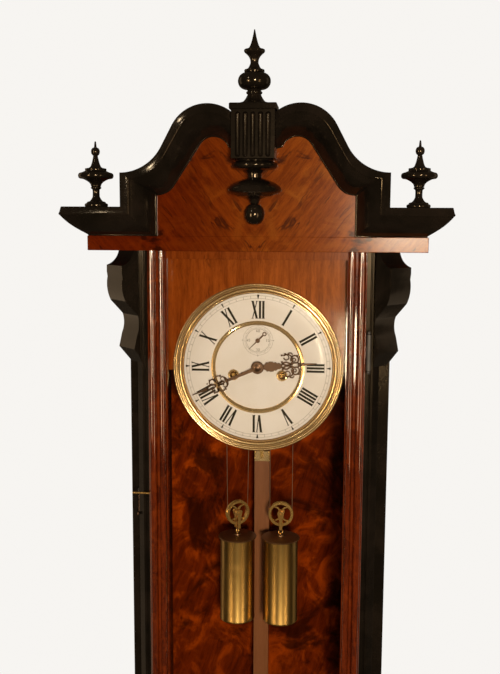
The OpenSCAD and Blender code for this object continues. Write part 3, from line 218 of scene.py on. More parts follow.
def woodMaterial(name, look):
    look = {"scale": (1, 1, 1), "veins": 0, "spotScale": 30, "specular": 0.2, "polish": 1.5, **look}
    material, tree, shader = startMaterial(name)
    source = mirroredCoords(tree) if "mirrored" in look else objectCoords(tree)
    vector = mapped(tree, source, look["scale"], look["turn"])
    grain = grouped(tree, grainGroup, vector, Figure=look["figure"])
    wear = grouped(tree, wearGroup, vector)
    colour = mixColour(tree, rangeNode(tree, grain["Streak"], *look["contrast"]), look["dark"], look["light"])
    colour = mixColour(tree, rangeNode(tree, grain["Figure"], 0.42, 0.72), colour, look["patch"])
    spots = noiseNode(tree, vector, look["spotScale"], 5, 0.62, 0.8)
    spots = rangeNode(tree, spots, look["spotFrom"], look["spotFrom"] + 0.1, 0, look["spots"])
    colour = mixColour(tree, spots, colour, look["spot"])
    colour = mixColour(tree, times(tree, grain["Pores"], look["pores"]), colour, look["dark"])
    colour = mixColour(tree, times(tree, grain["Veins"], look["veins"]), colour, look["spot"])
    if "sides" in look:
        # Painted light and shade: a tint from the left side of the case to the right, as the case is lit more on one
        # side than the other
        place = addNode(tree, "SeparateXYZ", {0: objectCoords(tree)})
        tint = mixColour(tree, rangeNode(tree, place.outputs[0], -0.13, 0.13), *look["sides"])
        colour = mixColour(tree, 1, colour, tint, "MULTIPLY")
    feed(tree, shader, {
        "Base Color": colour, "Roughness": rangeNode(tree, wear["Dust"], 0, 1, look["rough"], look["rough"] + 0.22),
        "Specular IOR Level": look["specular"], "Coat Weight": look["coat"], "Coat Roughness": look["coatRough"],
        "Coat IOR": look["polish"], "Normal": bumped(tree, grain["Bump"], look["bump"], 0.0004),
    })
    return material


def plainMaterial(name, look):
    # Lacquer, metal or enamel: a base tone with slow clouds, dust and fine marks
    look = {
        "cloudScale": 25, "marks": 0.1, "dull": 0.15, "metal": 0, "specular": 0.5, "tint": (1, 1, 1), "coat": 0,
        "coatRough": 0.05, **look,
    }
    material, tree, shader = startMaterial(name)
    vector = objectCoords(tree)
    wear = grouped(tree, wearGroup, vector)
    cloud = noiseNode(tree, vector, look["cloudScale"], 4, 0.6, 0.5)
    colour = mixColour(tree, rangeNode(tree, cloud, 0.35, 0.7), look["base"], look["cloud"])
    colour = mixColour(tree, times(tree, wear["Dust"], look["dust"]), colour, look["dustColour"])
    dull = plus(tree, times(tree, wear["Marks"], look["marks"]), times(tree, wear["Dust"], look["dull"]))
    feed(tree, shader, {
        "Base Color": colour, "Roughness": plus(tree, dull, look["rough"]), "Metallic": look["metal"],
        "Specular IOR Level": look["specular"], "Specular Tint": look["tint"], "Coat Weight": look["coat"],
        "Coat Roughness": look["coatRough"], "Normal": bumped(tree, wear["Wave"], look["bump"], 0.0006),
    })
    return material


def glassMaterial(name):
    material, tree, shader = startMaterial(name)
    wear = grouped(tree, wearGroup, objectCoords(tree))
    feed(tree, shader, {
        "Base Color": (0.95, 0.97, 0.96), "Metallic": 1, "Roughness": rangeNode(tree, wear["Dust"], 0, 1, 0.04, 0.14),
        "Normal": bumped(tree, wear["Wave"], 0.03, 0.001),
    })
    fresnel = addNode(tree, "Fresnel", {"IOR": 1.35})
    clear = addNode(tree, "BsdfTransparent", {"Color": (0.975, 0.985, 0.98)})
    blend = addNode(tree, "MixShader", {
        0: times(tree, fresnel.outputs[0], 0.06), 1: clear.outputs[0], 2: shader.outputs[0],
    })
    feed(tree, tree.nodes["Material Output"], {"Surface": blend.outputs[0]})
    return material


def streakBrass(name, look):
    # Drawn brass tube: fine upright streaks, soft stains and a slightly rolling surface
    material, tree, shader = startMaterial(name)
    plain = objectCoords(tree)
    wear = grouped(tree, wearGroup, plain)
    streak = noiseNode(tree, mapped(tree, plain, (1, 1, 0.03)), 420, 4, 0.6)
    stain = noiseNode(tree, plain, 34, 5, 0.62, 0.8)
    colour = mixColour(tree, rangeNode(tree, streak, 0.35, 0.65), look["base"], look["streak"])
    colour = mixColour(tree, rangeNode(tree, stain, 0.52, 0.78, 0, look["stains"]), colour, look["stain"])
    drawn = rangeNode(tree, streak, 0.3, 0.7, look["rough"], look["rough"] + 0.08)
    height = plus(tree, streak, times(tree, wear["Wave"], 1.5))
    feed(tree, shader, {
        "Base Color": colour, "Metallic": 1, "Roughness": plus(tree, drawn, rangeNode(tree, stain, 0.5, 0.8, 0, 0.12)),
        "Normal": bumped(tree, height, 0.004, 0.0002),
    })
    return material


walnutLook = dict(
    turn=(0, math.radians(52), 0), mirrored=True, figure=0.9, contrast=(0.28, 0.72), veins=0.75,
    dark=(0.075, 0.0085, 0.0003), light=(0.19, 0.03, 0.001), patch=(0.2, 0.038, 0.0015),
    # sides: painted light and shade, darker on the left of the case and much lighter on the right
    sides=((0.55, 0.38, 0.35), (1.4, 2.2, 6)), spot=(0.02, 0.0035, 0.0006), spotFrom=0.585, spots=0.85, spotScale=26,
    pores=0.6, rough=0.45, coat=0.12, coatRough=0.15, bump=0.3, specular=0)
maskLook = dict(
    turn=(0, math.radians(90), 0), scale=(1, 0.02, 1), figure=0.6, contrast=(0.28, 0.72), veins=0.5,
    dark=(0.13, 0.024, 0.0022), light=(0.28, 0.062, 0.0065), patch=(0.24, 0.046, 0.0045),
    # sides: painted light, the mask lighter towards the right of the case
    sides=((0.95, 0.85, 0.8), (1.3, 1.6, 2.6)), spot=(0.05, 0.01, 0.002), spotFrom=0.72, spots=0.4, pores=0.6,
    rough=0.42, coat=0.25, coatRough=0.13, bump=0.1, specular=0)
# Painted shade: a darker copy of the mask wood for the door's top rail, which stands in front of the glass and catches
# more light
shadedRailLook = dict(maskLook, dark=(0.1, 0.018, 0.0017), light=(0.215, 0.047, 0.005), patch=(0.18, 0.035, 0.0035))
mahoganyLook = dict(
    turn=(0, math.radians(90), 0), figure=0.9, contrast=(0.3, 0.72), dark=(0.028, 0.0026, 0.0004),
    light=(0.15, 0.02, 0.0014), patch=(0.17, 0.026, 0.0016), spot=(0.02, 0.004, 0.001), spotFrom=0.7, spots=0.4, pores=0.4,
    rough=0.34, coat=1, polish=1.75, coatRough=0.07, bump=0.008, specular=0)
burlLook = dict(
    turn=(0, math.radians(70), 0), scale=(0.8, 1, 0.7), figure=0.95, contrast=(0.26, 0.76), dark=(0.04, 0.0042, 0.0003),
    # sides: painted shade, the back a little darker towards the right of the case
    light=(0.15, 0.018, 0.0012), patch=(0.32, 0.046, 0.0018), sides=((0.95, 0.9, 0.8), (0.85, 0.8, 0.9)),
    spot=(0.014, 0.0022, 0.0005), spotScale=15, spotFrom=0.52, spots=0.8, pores=0.5,
    rough=0.42, coat=0.05, coatRough=0.2, bump=0.1, specular=0)
pineLook = dict(
    turn=(0, math.radians(90), 0), figure=0.5, contrast=(0.2, 0.85), dark=(0.16, 0.052, 0.017), light=(0.22, 0.08, 0.03),
    patch=(0.19, 0.068, 0.024), spot=(0.1, 0.03, 0.01), spotFrom=0.72, spots=0.3, pores=0.5,
    rough=0.4, coat=0.2, coatRough=0.2, bump=0.08)
ebonyLook = dict(
    base=(0.005, 0.004, 0.003), cloud=(0.011, 0.008, 0.006), rough=0.12, specular=0.28, tint=(1, 0.78, 0.52), coat=0.03,
    coatRough=0.04, dust=0.08, dustColour=(0.08, 0.055, 0.035), dull=0.14, marks=0.05, bump=0.12)
satinLook = dict(
    ebonyLook, rough=0.22, specular=0.08, coat=0.02, coatRough=0.03, dust=0.03, dustColour=(0.06, 0.042, 0.027), dull=0.1,
    marks=0.03, bump=0.08)
brassLook = dict(
    base=(0.66, 0.4, 0.13), cloud=(0.52, 0.29, 0.085), metal=0.86, rough=0.22, dust=0.3, dustColour=(0.3, 0.18, 0.06),
    marks=0.1, bump=0.06)
bezelLook = dict(
    base=(0.8, 0.56, 0.29), cloud=(0.7, 0.47, 0.22), metal=0.78, rough=0.19, dust=0.2, dustColour=(0.45, 0.32, 0.13),
    dull=0.12, marks=0.08, bump=0.02)
# Dark patina that is also painted shade: it darkens the bezel's grooves and inner lip, and the front plate seen through
# the winding holes
patinaAndShadeLook = dict(
    base=(0.16, 0.075, 0.022), cloud=(0.24, 0.12, 0.04), metal=0.7, rough=0.35, dust=0.4, dustColour=(0.1, 0.05, 0.02),
    bump=0.03)
steelLook = dict(
    base=(0.42, 0.4, 0.38), cloud=(0.3, 0.28, 0.26), metal=1, rough=0.3, dust=0.4, dustColour=(0.2, 0.13, 0.08),
    marks=0.12, bump=0.08)
ironLook = dict(
    base=(0.02, 0.02, 0.02), cloud=(0.035, 0.03, 0.028), rough=0.5, dust=0.3, dustColour=(0.08, 0.06, 0.05), bump=0.25)
enamelLook = dict(
    base=(0.7, 0.645, 0.64), cloud=(0.67, 0.61, 0.59), rough=0.3, specular=0.2, coat=0.22, coatRough=0.07, dust=0.12,
    dustColour=(0.55, 0.46, 0.33), marks=0.06, bump=0.03)
bronzeLook = dict(
    base=(0.05, 0.027, 0.016), cloud=(0.085, 0.045, 0.025), metal=0.8, rough=0.34, dust=0.3, dustColour=(0.16, 0.09, 0.05),
    bump=0.06)
gutLook = dict(
    base=(0.12, 0.05, 0.018), cloud=(0.08, 0.032, 0.012), rough=0.5, dust=0.2, dustColour=(0.16, 0.1, 0.06), bump=0.3)
inkLook = dict(
    base=(0.012, 0.009, 0.004), cloud=(0.025, 0.018, 0.008), cloudScale=160, rough=0.4, specular=0.1, dust=0.25,
    dustColour=(0.1, 0.08, 0.06), bump=0.02)
greyInkLook = dict(
    base=(0.07, 0.055, 0.045), cloud=(0.16, 0.13, 0.1), cloudScale=120, rough=0.4, dust=0.2,
    dustColour=(0.45, 0.4, 0.34), bump=0.02)
weightLook = dict(
    base=(0.36, 0.225, 0.072), streak=(0.28, 0.16, 0.046), stain=(0.2, 0.095, 0.024), stains=0.5, rough=0.27)
capLook = dict(
    base=(0.1, 0.045, 0.018), cloud=(0.16, 0.075, 0.028), metal=0.6, rough=0.3, dust=0.4, dustColour=(0.2, 0.12, 0.05),
    bump=0.05)

for key, name, look in (
        ("walnut", "walnutVeneer", walnutLook), ("mask", "maskWood", maskLook), ("shadedRail", "shadedRailWood", shadedRailLook),
        ("mahogany", "redMahogany", mahoganyLook), ("burl", "backBurl", burlLook), ("pine", "pendulumWood", pineLook)):
    materials[key] = woodMaterial(name, look)
for key, name, look in (
        ("ebony", "ebonisedWood", ebonyLook), ("ebonySatin", "satinEbony", satinLook), ("brass", "agedBrass", brassLook),
        ("bezel", "bezelBrass", bezelLook), ("patinaAndShade", "grooveShadePatina", patinaAndShadeLook), ("steel", "oldSteel", steelLook),
        ("iron", "blackIron", ironLook), ("enamel", "whiteEnamel", enamelLook), ("bronze", "handBronze", bronzeLook),
        ("gut", "gutLine", gutLook), ("ink", "dialInk", inkLook), ("greyInk", "hairlineInk", greyInkLook),
        ("cap", "weightCap", capLook)):
    materials[key] = plainMaterial(name, look)
materials["glass"] = glassMaterial("oldGlass")
materials["weight"] = streakBrass("weightBrass", weightLook)
print("materials made", len(materials))

nodeMaterials = {
    "burl": "backboard case_boards",
    "ebony": "side_frames front_posts cornice_moulding fluted_block middle_finial pendant side_finials corbels base_moulding"
             " base_apron drop_finials",
    "mask": "dial_mask",
    "walnut": "frieze pediment_panel",
    "mahogany": "door_frame",
    "shadedRail": "door_top_rail",
    "pine": "pendulum_rod",
    "glass": "side_glasses door_glass",
    "enamel": "beat_plate chapter_ring",
    "steel": "hanger_plate gong_coil hammer",
    "iron": "door_hinges hinge_pins movement_bracket",
    "bronze": "door_hook minute_hand hour_hand seconds_hand",
    "bezel": "dial_plate bezel",
    "brass": "gong_post back_plate front_plate pillars going_drum going_great_wheel centre_arbor minute_wheel hour_wheel"
             " third_wheel escape_wheel anchor pendulum_fittings pendulum_bob strike_drum strike_train_great pin_wheel"
             " warning_wheel fly going_weight strike_weight going_pulley strike_pulley",
    "gut": "going_line strike_line",
}
for key, names in nodeMaterials.items():
    for name in names.split():
        slots = nodes[name].data.materials
        slots.clear()
        slots.append(materials[key])


# Plain forms that several pieces share
def extruded(bm, outline, along):
    # outline: points in one plane; along: Vector of the extrusion
    face = bm.faces.new([bm.verts.new(p) for p in outline])
    top = bmesh.ops.extrude_face_region(bm, geom=[face])["geom"]
    bmesh.ops.translate(bm, verts=[v for v in top if isinstance(v, bmesh.types.BMVert)], vec=along)


def softened(piece, width, segments=2, angle=30, harden=True):
    # Edges rounded by a width in millimetres
    bevel = piece.modifiers.new("softEdge", "BEVEL")
    bevel.width = width * mm
    bevel.segments = segments
    bevel.limit_method = "ANGLE"
    bevel.angle_limit = math.radians(angle)
    bevel.harden_normals = harden
    return piece


def skin(bm, rings, closed=False):
    # Faces between rings of points, with a cap at each end of an open run
    rings = [[bm.verts.new(p) for p in ring] for ring in rings]
    for a, b in zip(rings, rings[1:] + rings[:1] if closed else rings[1:]):
        for k in range(len(a)):
            n = (k + 1) % len(a)
            bm.faces.new((a[k], a[n], b[n], b[k]))
    if not closed:
        bm.faces.new(rings[0])
        bm.faces.new(list(reversed(rings[-1])))


def spun(bm, points, centre, axis, steps, weld):
    verts = [bm.verts.new(p) for p in points]
    edges = [bm.edges.new(pair) for pair in zip(verts, verts[1:])]
    bmesh.ops.spin(bm, geom=verts + edges, cent=centre, axis=axis, angle=math.tau, steps=steps)
    bmesh.ops.remove_doubles(bm, verts=bm.verts, dist=weld)


def latheOn(bm, z, profile, steps=48):
    # Turned form about an axis that points out of the dial, from (radius, distance from the wall) pairs
    spun(bm, [at(r, y, z) for r, y in profile], at(0, 0, z), (0, 1, 0), steps, 2e-6)


def arcPath(cx, cz, r, a0, a1, count):
    angles = [math.radians(a0 + (a1 - a0) * i / count) for i in range(count + 1)]
    return [(cx + r * math.cos(a), cz + r * math.sin(a)) for a in angles]


# Flat shapes in (x, z) round the dial centre, laid between two distances from the wall
def turnedPoint(x, z, degrees):
    # Clockwise turn as seen from the front
    c, s = math.cos(math.radians(degrees)), math.sin(math.radians(degrees))
    return (x * c + z * s, z * c - x * s)


def prism(bm, outline, span, degrees=0, centre=dialZ):
    turned = [turnedPoint(x, z, degrees) for x, z in outline]
    extruded(bm, [at(x, span[0], centre + z) for x, z in turned], at(0, span[1] - span[0], 0))


def taper(half0, z0, half1, z1):
    return [(-half0, z0), (half0, z0), (half1, z1), (-half1, z1)]


def bothHalves(points):
    return points + [(-x, z) for x, z in reversed(points)]


def ringShape(bm, r0, r1, span, centre=dialZ, count=96):
    for i in range(count):
        a, b = (math.tau * k / count for k in (i, i + 1))
        prism(bm, [(r * math.sin(t), r * math.cos(t)) for r, t in ((r0, a), (r1, a), (r1, b), (r0, b))], span, 0, centre)


def bandShape(bm, path, widths, span, degrees=0, centre=dialZ):
    # Strip of changing width that follows a path, as quads
    sides = []
    for i, (x, z) in enumerate(path):
        ax, az = path[max(i - 1, 0)]
        bx, bz = path[min(i + 1, len(path) - 1)]
        length = math.hypot(bx - ax, bz - az)
        nx, nz = -(bz - az) / length, (bx - ax) / length
        half = (widths[0] + (widths[1] - widths[0]) * i / (len(path) - 1)) / 2
        sides.append(((x + nx * half, z + nz * half), (x - nx * half, z - nz * half)))
    for (a, b), (c, d) in zip(sides, sides[1:]):
        prism(bm, [a, b, d, c], span, degrees, centre)


def reachOf(point):
    return math.hypot(point.x, point.z - dialZ * mm) / mm


# Enamel: a chapter ring that swells a little between its edges, and the flat centre
enamel = {"inner": 53.8, "outer": 86, "back": 124.1, "edge": 126.5, "rise": 0.7, "face": 127, "centreOut": 51.5}


def enamelFace(r, s):
    mid, half = (s["inner"] + s["outer"]) / 2, (s["outer"] - s["inner"]) / 2
    return s["edge"] + s["rise"] * (1 - ((r - mid) / half) ** 2)


def makeEnamel(s):
    radii = [s["inner"] + (s["outer"] - s["inner"]) * i / 24 for i in range(25)]
    inside = (s["inner"], s["back"])
    bm = bmesh.new()
    latheOn(bm, dialZ, [inside] + [(r, enamelFace(r, s)) for r in radii] + [(s["outer"], s["back"]), inside], 128)
    ring = newObject("chapterRingSwelled", bm, "root", "enamel")
    bm = bmesh.new()
    bm.from_mesh(nodes["chapter_ring"].data)
    bmesh.ops.delete(bm, geom=[v for v in bm.verts if reachOf(v.co) > s["centreOut"]], context="VERTS")
    newObject("centreEnamel", bm, "root", "enamel")
    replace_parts(ring, "chapter_ring")


# Printing on the enamel
dialMarks = {
    "span": (126.98, 127.07), "fine": (126.98, 127.042), "centreSpan": (125.58, 125.642), "numeralIn": 56.2,
    "numeralOut": 76.6, "trackIn": 79.3, "trackOut": 82.6, "line": 0.28, "hair": 0.14, "pitch": 3.8, "thick": 2.6,
    "thin": 1.1, "vee": 8.4, "serif": 3.5, "secondsUp": 31,
}


def settled(bm):
    # Ink follows the swell of the enamel
    bmesh.ops.subdivide_edges(bm, edges=[e for e in bm.edges if e.calc_length() > 0.005], cuts=7, use_grid_fill=True)
    for v in bm.verts:
        reach = reachOf(v.co)
        if reach > enamel["inner"] + 0.2:
            v.co.y += (enamel["face"] - enamelFace(reach, enamel)) * mm
    return bm


def numeral(bm, text, degrees, s):
    # Roman numeral standing on the inner circle with its top outwards
    low, high, thick, thin = s["numeralIn"], s["numeralOut"], s["thick"], s["thin"]
    back, face = s["span"]
    widths = [s["pitch"] if letter == "I" else s["vee"] for letter in text]
    cursor = -sum(widths) / 2
    for letter, width in zip(text, widths):
        mid = cursor + width / 2
        left, right = mid - width * 0.3, mid + width * 0.3
        strokes = {
            "I": [(mid, low, mid, high, thick)],
            "V": [(left, high, mid, low, thick), (right, high, mid + 0.3, low, thin)],
            "X": [(left, high, right, low, thick), (right, high, left, low, thin)],
        }[letter]
        for x0, z0, x1, z1, w in strokes:
            prism(bm, [(x0 - w / 2, z0), (x0 + w / 2, z0), (x1 + w / 2, z1), (x1 - w / 2, z1)], s["span"], degrees)
            for x, z in ((x0, z0), (x1, z1)):
                if letter == "V" and z == low:
                    continue
                half = s["serif"] / 2 * (1 if w == thick else 0.8)
                inner = z + (0.5 if z == low else -0.5)
                serif = [(x - half, z), (x + half, z), (x + half, inner), (x - half, inner)]
                prism(bm, serif, (back, face + 0.01), degrees)
        cursor += width


def chapterInk(s):
    bm = bmesh.new()
    for hour, text in enumerate("XII I II III IIII V VI VII VIII IX X XI".split()):
        numeral(bm, text, 30 * hour, s)
    for minute in range(60):
        mark = taper(s["line"] / 2, s["trackOut"], s["line"] / 2, s["trackIn"])
        if minute % 5 == 0:
            wide = 1.9 if minute % 15 == 0 else 1.5
            mark = taper(wide * 0.75, s["trackOut"] + 1, 0.25, s["trackIn"] - 0.6)
        prism(bm, mark, s["span"], 6 * minute)
    newObject("chapterInk", settled(bm), "root", "ink", smooth=False)


# Strokes of the figures on the seconds dial, in units of 1.1 mm
digits = {
    "0": [(-0.7, -1), (-0.7, 1), (0, 1.35), (0.7, 1), (0.7, -1), (0, -1.35), (-0.7, -1)],
    "1": [(-0.35, 0.9), (0.1, 1.35), (0.1, -1.35)],
    "3": [(-0.6, 1.1), (0.1, 1.35), (0.6, 0.8), (0, 0.1), (0.7, -0.6), (0.1, -1.35), (-0.7, -1)],
    "4": [(0.3, -1.35), (0.3, 1.35), (-0.7, -0.4), (0.8, -0.4)],
    "5": [(0.6, 1.3), (-0.5, 1.3), (-0.6, 0.2), (0.2, 0.3), (0.7, -0.5), (0.1, -1.3), (-0.7, -1)],
    "6": [(0.6, 1.2), (-0.2, 1.1), (-0.7, 0), (-0.5, -1.1), (0.3, -1.3), (0.7, -0.5), (0.1, 0.1), (-0.6, -0.3)],
}


def fineInk(s):
    # Grey hairline circles, and the small seconds dial with its figures
    bm = bmesh.new()
    span, up = s["centreSpan"], dialZ + s["secondsUp"]
    for radius in (s["trackIn"], s["trackOut"]):
        ringShape(bm, radius - s["hair"], radius + s["hair"], s["fine"], count=180)
    for radius in (13.3, 17.2):
        ringShape(bm, radius - 0.12, radius + 0.12, span, up, 72)
    for second in range(60):
        prism(bm, taper(s["hair"], 13.3, s["hair"], 15.6 if second % 5 else 17.2), span, 6 * second, up)
    for quarter in range(4):
        prism(bm, [(-0.5, 18.4), (0.5, 18.4), (0, 16.4)], (span[0], span[1] + 0.02), 90 * quarter, up)
    for quarter, text in enumerate(("60", "15", "30", "45")):
        x0, z0 = turnedPoint(0, 11, 90 * quarter)
        for k, letter in enumerate(text):
            path = [(x * 1.1 + x0 + (k - 0.5) * 2.3, z * 1.1 + z0) for x, z in digits[letter]]
            bandShape(bm, path, (0.5, 0.5), span, 0, up)
    newObject("fineInk", settled(bm), "root", "greyInk", smooth=False)


chapterInk(dialMarks)
fineInk(dialMarks)
print("dial marked")


# Hands: pierced bronze, drawn pointing up and turned to the time shown
def lobe(cx, cz, rx, rz, start, end, count=14):
    angles = [math.radians(start + (end - start) * i / count) for i in range(count + 1)]
    return [(cx + rx * math.sin(a), cz + rz * math.cos(a)) for a in angles]


minuteHand = {
    "span": (131.6, 132.3), "turn": 246, "wide": 1.35, "boss": (0.2, 6.4), "dot": (0.7, 1.5),
    "dots": ((8.6, 43), (8, 57.2), (5.4, 61)),
    "flats": (
        taper(2.1, 5.8, 1.5, 37.5), [(-4.6, 38), (0, 36.4), (4.6, 38), (5.4, 39.2), (0, 40.6), (-5.4, 39.2)],
        bothHalves([(1.7, 61.5), (1.15, 70), (0.25, 83)])),
    "bands": (
        (lobe(5, 47, 4.2, 4.6, -150, 150), 1.3, 0.8), (lobe(4.6, 54.6, 3.4, 3.6, 190, -80), 1.2, 0.8),
        (lobe(3, 42, 3.4, 2.6, 200, 20), 1.2, 0.7), (lobe(6.2, 50.6, 1.7, 1.7, -180, 120, 10), 1, 0.6),
        ([(0.4, 52), (2.6, 56.5), (2, 60.5), (0.2, 64)], 1.3, 1),
        ([(0.3, 41), (1.8, 45), (0.8, 50)], 1.2, 1)),
}
hourHand = {
    "span": (129.8, 130.5), "turn": 84.9, "wide": 1.3, "boss": (2.6, 7.4), "dot": (1, 2),
    "dots": ((13.6, 33), (12.2, 29), (10.6, 46.6)),
    "flats": (
        bothHalves([
            (2.4, 6.5), (3.2, 9), (5.3, 10.5), (5, 13), (5.9, 14.2), (5.7, 18), (4.4, 19), (5, 21),
            (3.4, 23.5), (3.8, 25), (1.8, 28)]),
        bothHalves([(2.2, 46.5), (1.25, 53), (0.3, 68)])),
    "bands": (
        (lobe(6.6, 34.6, 6.4, 6.4, -170, 130), 1.7, 1), (lobe(9.4, 34, 2.9, 3, -180, 140, 10), 1.2, 0.7),
        (lobe(6.4, 43.4, 4.6, 4.4, 200, -60), 1.6, 1), (lobe(6.2, 42.6, 1.8, 1.8, 180, -140, 10), 1.1, 0.7),
        ([(0.6, 27.5), (3.4, 30), (4.2, 33.5), (2.2, 37.5), (0.4, 39)], 1.7, 1.2),
        ([(0.6, 39), (2.6, 42), (2.6, 46), (0.6, 50.5)], 1.6, 1.1),
        (lobe(12.6, 38.6, 1.8, 2.4, 190, -20, 8), 1.3, 0.8)),
}


def makeHand(name, body, node, s):
    bm = bmesh.new()
    ringShape(bm, *s["boss"], s["span"], count=48)
    for outline in s["flats"]:
        prism(bm, outline, s["span"], s["turn"])
    for path, *widths in s["bands"]:
        for side in (path, [(-x, z) for x, z in path]):
            bandShape(bm, side, [w * s["wide"] for w in widths], s["span"], s["turn"])
    half, tall = s["dot"]
    for x, z in s["dots"]:
        for cx in (x, -x):
            bandShape(bm, [(cx - half, z), (cx + half, z)], (tall, tall), s["span"], s["turn"])
    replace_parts(softened(newObject(name, bm, body, "bronze", smooth=False), 0.12, 1, harden=False), node)


makeEnamel(enamel)
makeHand("minuteHandPierced", "centre", "minute_hand", minuteHand)
makeHand("hourHandPierced", "hour", "hour_hand", hourHand)
collet = [(0.01, 134.1), (2, 134), (2.8, 133.7), (3, 133.2), (4.3, 132.9), (4.4, 132.35), (6, 132.3)]
bm = bmesh.new()
latheOn(bm, dialZ, collet)
newObject("handCollet", bm, "centre", "bronze")
print("hands made")

# Cornice: one moulding swept along the scroll, down the upright, out along the ledge and back to the wall
cornice = {
    "frontY": 200, "coveEnd": 176, "back": 172, "lean": 2, "width": 207.5, "ledgeZ": -24, "ledgeH": 31,
    "uprightX": 141.5, "uprightW": 35, "uprightZ": 11.5, "innerZ": -11.5, "crestX": 48.7, "crestR": 42, "scrollZ": 82,
    "scrollW": 32, "innerR": 17, "blockHalf": 22.5,
}


def swanPath(cx, cz, r, start, slope, endX, endZ):
    # Crest, straight slope and hollow foot of a scroll
    sn, cs = math.sin(math.radians(slope)), math.cos(math.radians(slope))
    lx, lz = cx + r * sn, cz + r * cs
    hollow = ((endX - lx) * sn + (endZ - lz) * cs) / (1 - cs)
    foot = arcPath(endX, endZ + hollow, hollow, 270 - slope, 270, 20)
    slide = [(lx + (foot[0][0] - lx) * i / 8, lz + (foot[0][1] - lz) * i / 8) for i in range(1, 8)]
    return arcPath(cx, cz, r, start, 90 - slope, 22) + slide + foot


def corniceSection(s):
    # (share of the width from the outer edge, distance from the wall)
    front, cove = s["frontY"], s["coveEnd"]
    points = [
        (0, s["back"]), (0, front - s["lean"] - 0.6), (0.012, front - s["lean"]), (0.19, front - 0.75),
        (0.225, front - 0.2), (0.25, front), (0.27, front - 0.25), (0.29, front - 0.8), (0.3, front - 1.3)]
    for i in range(1, 15):
        t = i / 14
        points.append((0.3 + 0.66 * t, front - 1.1 + (cove + 0.3 - front) * (t - 0.1 * math.sin(math.pi * t))))
    return points + [(0.975, cove - 0.6), (1, cove - 1.5), (1, s["back"])]


def corniceSide(sign, s):
    crest, upright, ledge, high = s["crestX"], s["uprightX"], s["ledgeZ"], s["scrollZ"]
    start = math.degrees(math.acos((s["blockHalf"] - crest) / s["crestR"]))
    outer = swanPath(crest, high - s["crestR"], s["crestR"], start, 62, upright, s["uprightZ"])
    inner = swanPath(
        crest - 4, high - s["scrollW"] - s["innerR"], s["innerR"], 165, 57, upright - s["uprightW"], s["innerZ"])
    for path in (outer, inner):
        path[0] = (s["blockHalf"], path[0][1])
    outer.append((upright, ledge))
    inner.append((upright - s["uprightW"], ledge - s["ledgeH"]))
    section = corniceSection(s)
    rings = [
        [at(sign * (o[0] + (i[0] - o[0]) * share), y, o[1] + (i[1] - o[1]) * share) for share, y in section]
        for o, i in zip(outer, inner)]
    for place in (1, 0):
        rings.append([
            at(sign * (s["width"] - s["frontY"] + y), y * place, ledge - s["ledgeH"] * share) for share, y in section])
    bm = bmesh.new()
    skin(bm, rings)
    return bm


for sign, name in ((-1, "corniceLeft"), (1, "corniceRight")):
    side = softened(newObject(name, corniceSide(sign, cornice), "root", "ebony"), 0.4, 2, 40, False)
    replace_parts(side, "cornice_moulding")
print("cornice swept")


def boxShape(bm, x0, x1, y0, y1, z0, z1):
    extruded(bm, [at(x0, y0, z0), at(x1, y0, z0), at(x1, y1, z0), at(x0, y1, z0)], at(0, 0, z1 - z0))


# Front posts with a broad chamfer and a quirk beside it
posts = {
    "inner": 102, "outer": 137.5, "back": 119, "front": 146, "bevel": 7, "low": -885, "top": -71, "quirk": 1.1,
}


def makePosts(s):
    bm = bmesh.new()
    x, y, b, q = s["outer"], s["front"], s["bevel"], s["quirk"]
    section = [
        (s["inner"], s["back"]), (x, s["back"]), (x, y - b - 4.6), (x - q, y - b - 4.2), (x - q, y - b - 3.2),
        (x, y - b - 2.8), (x, y - b), (x - b, y), (x - b - 2.6, y), (x - b - 3, y - q), (x - b - 4, y - q),
        (x - b - 4.4, y), (s["inner"], y),
    ]
    for sign in (-1, 1):
        extruded(bm, [at(sign * a, c, s["low"]) for a, c in section], at(0, 0, s["top"] - s["low"]))
    boxShape(bm, -s["inner"] - 1, s["inner"] + 1, s["back"], y, s["low"], s["low"] + 15)
    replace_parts(softened(newObject("postsChamfered", bm, "root", "ebonySatin"), 0.35), "front_posts")


makePosts(posts)


def cutAway(bm, place, normal, **side):
    # Everything on one side of a plane goes, and the cut is closed
    geom = bm.verts[:] + bm.edges[:] + bm.faces[:]
    cut = bmesh.ops.bisect_plane(bm, geom=geom, plane_co=place, plane_no=normal, **side)
    bmesh.ops.holes_fill(bm, edges=[e for e in cut["geom_cut"] if isinstance(e, bmesh.types.BMEdge)])


# Corbels: waved boards standing out at an angle from the case corners
corbel = {"x": 133.5, "y": 142, "turn": 42, "thick": 35, "top": -71, "low": -199, "cutX": 130.5}


def corbelOutline(top, low):
    points = [(-10, top), (16, top)] + arcPath(37, top + 3.65, 21, 190, 256, 14) + [(32, top - 24)]
    points += arcPath(-8, top - 38, 40, 12, -28, 16) + arcPath(40, top - 82, 29, 160, 205, 14)
    return points + [(17.5, low + 18), (2, low), (-10, low)]


def makeCorbels(s):
    ux, uy, half = math.cos(math.radians(s["turn"])), math.sin(math.radians(s["turn"])), s["thick"] / 2
    for sign, name in ((-1, "corbelLeft"), (1, "corbelRight")):
        outline = corbelOutline(s["top"], s["low"])
        ring = [at(s["x"] + u * ux - half * uy, s["y"] + u * uy + half * ux, z) for u, z in outline]
        bm = bmesh.new()
        extruded(bm, ring, at(2 * half * uy, -2 * half * ux, 0))
        cutAway(bm, at(s["cutX"], 0, 0), (1, 0, 0), clear_inner=True)
        if sign < 0:
            bmesh.ops.scale(bm, vec=(-1, 1, 1), verts=bm.verts)
        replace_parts(softened(newObject(name, bm, "root", "ebony"), 0.9, 3, 35), "corbels")


makeCorbels(corbel)

# Door frame: stiles and bottom rail with two round mouldings, and the stud that the hook catches
door = {
    "halfW": 121.5, "stile": 21.5, "back": 146.3, "thick": 16, "low": -881, "top": -71.3, "studY": 152,
    "studZ": -350.8, "studR": 1.2, "studLong": 21,
}


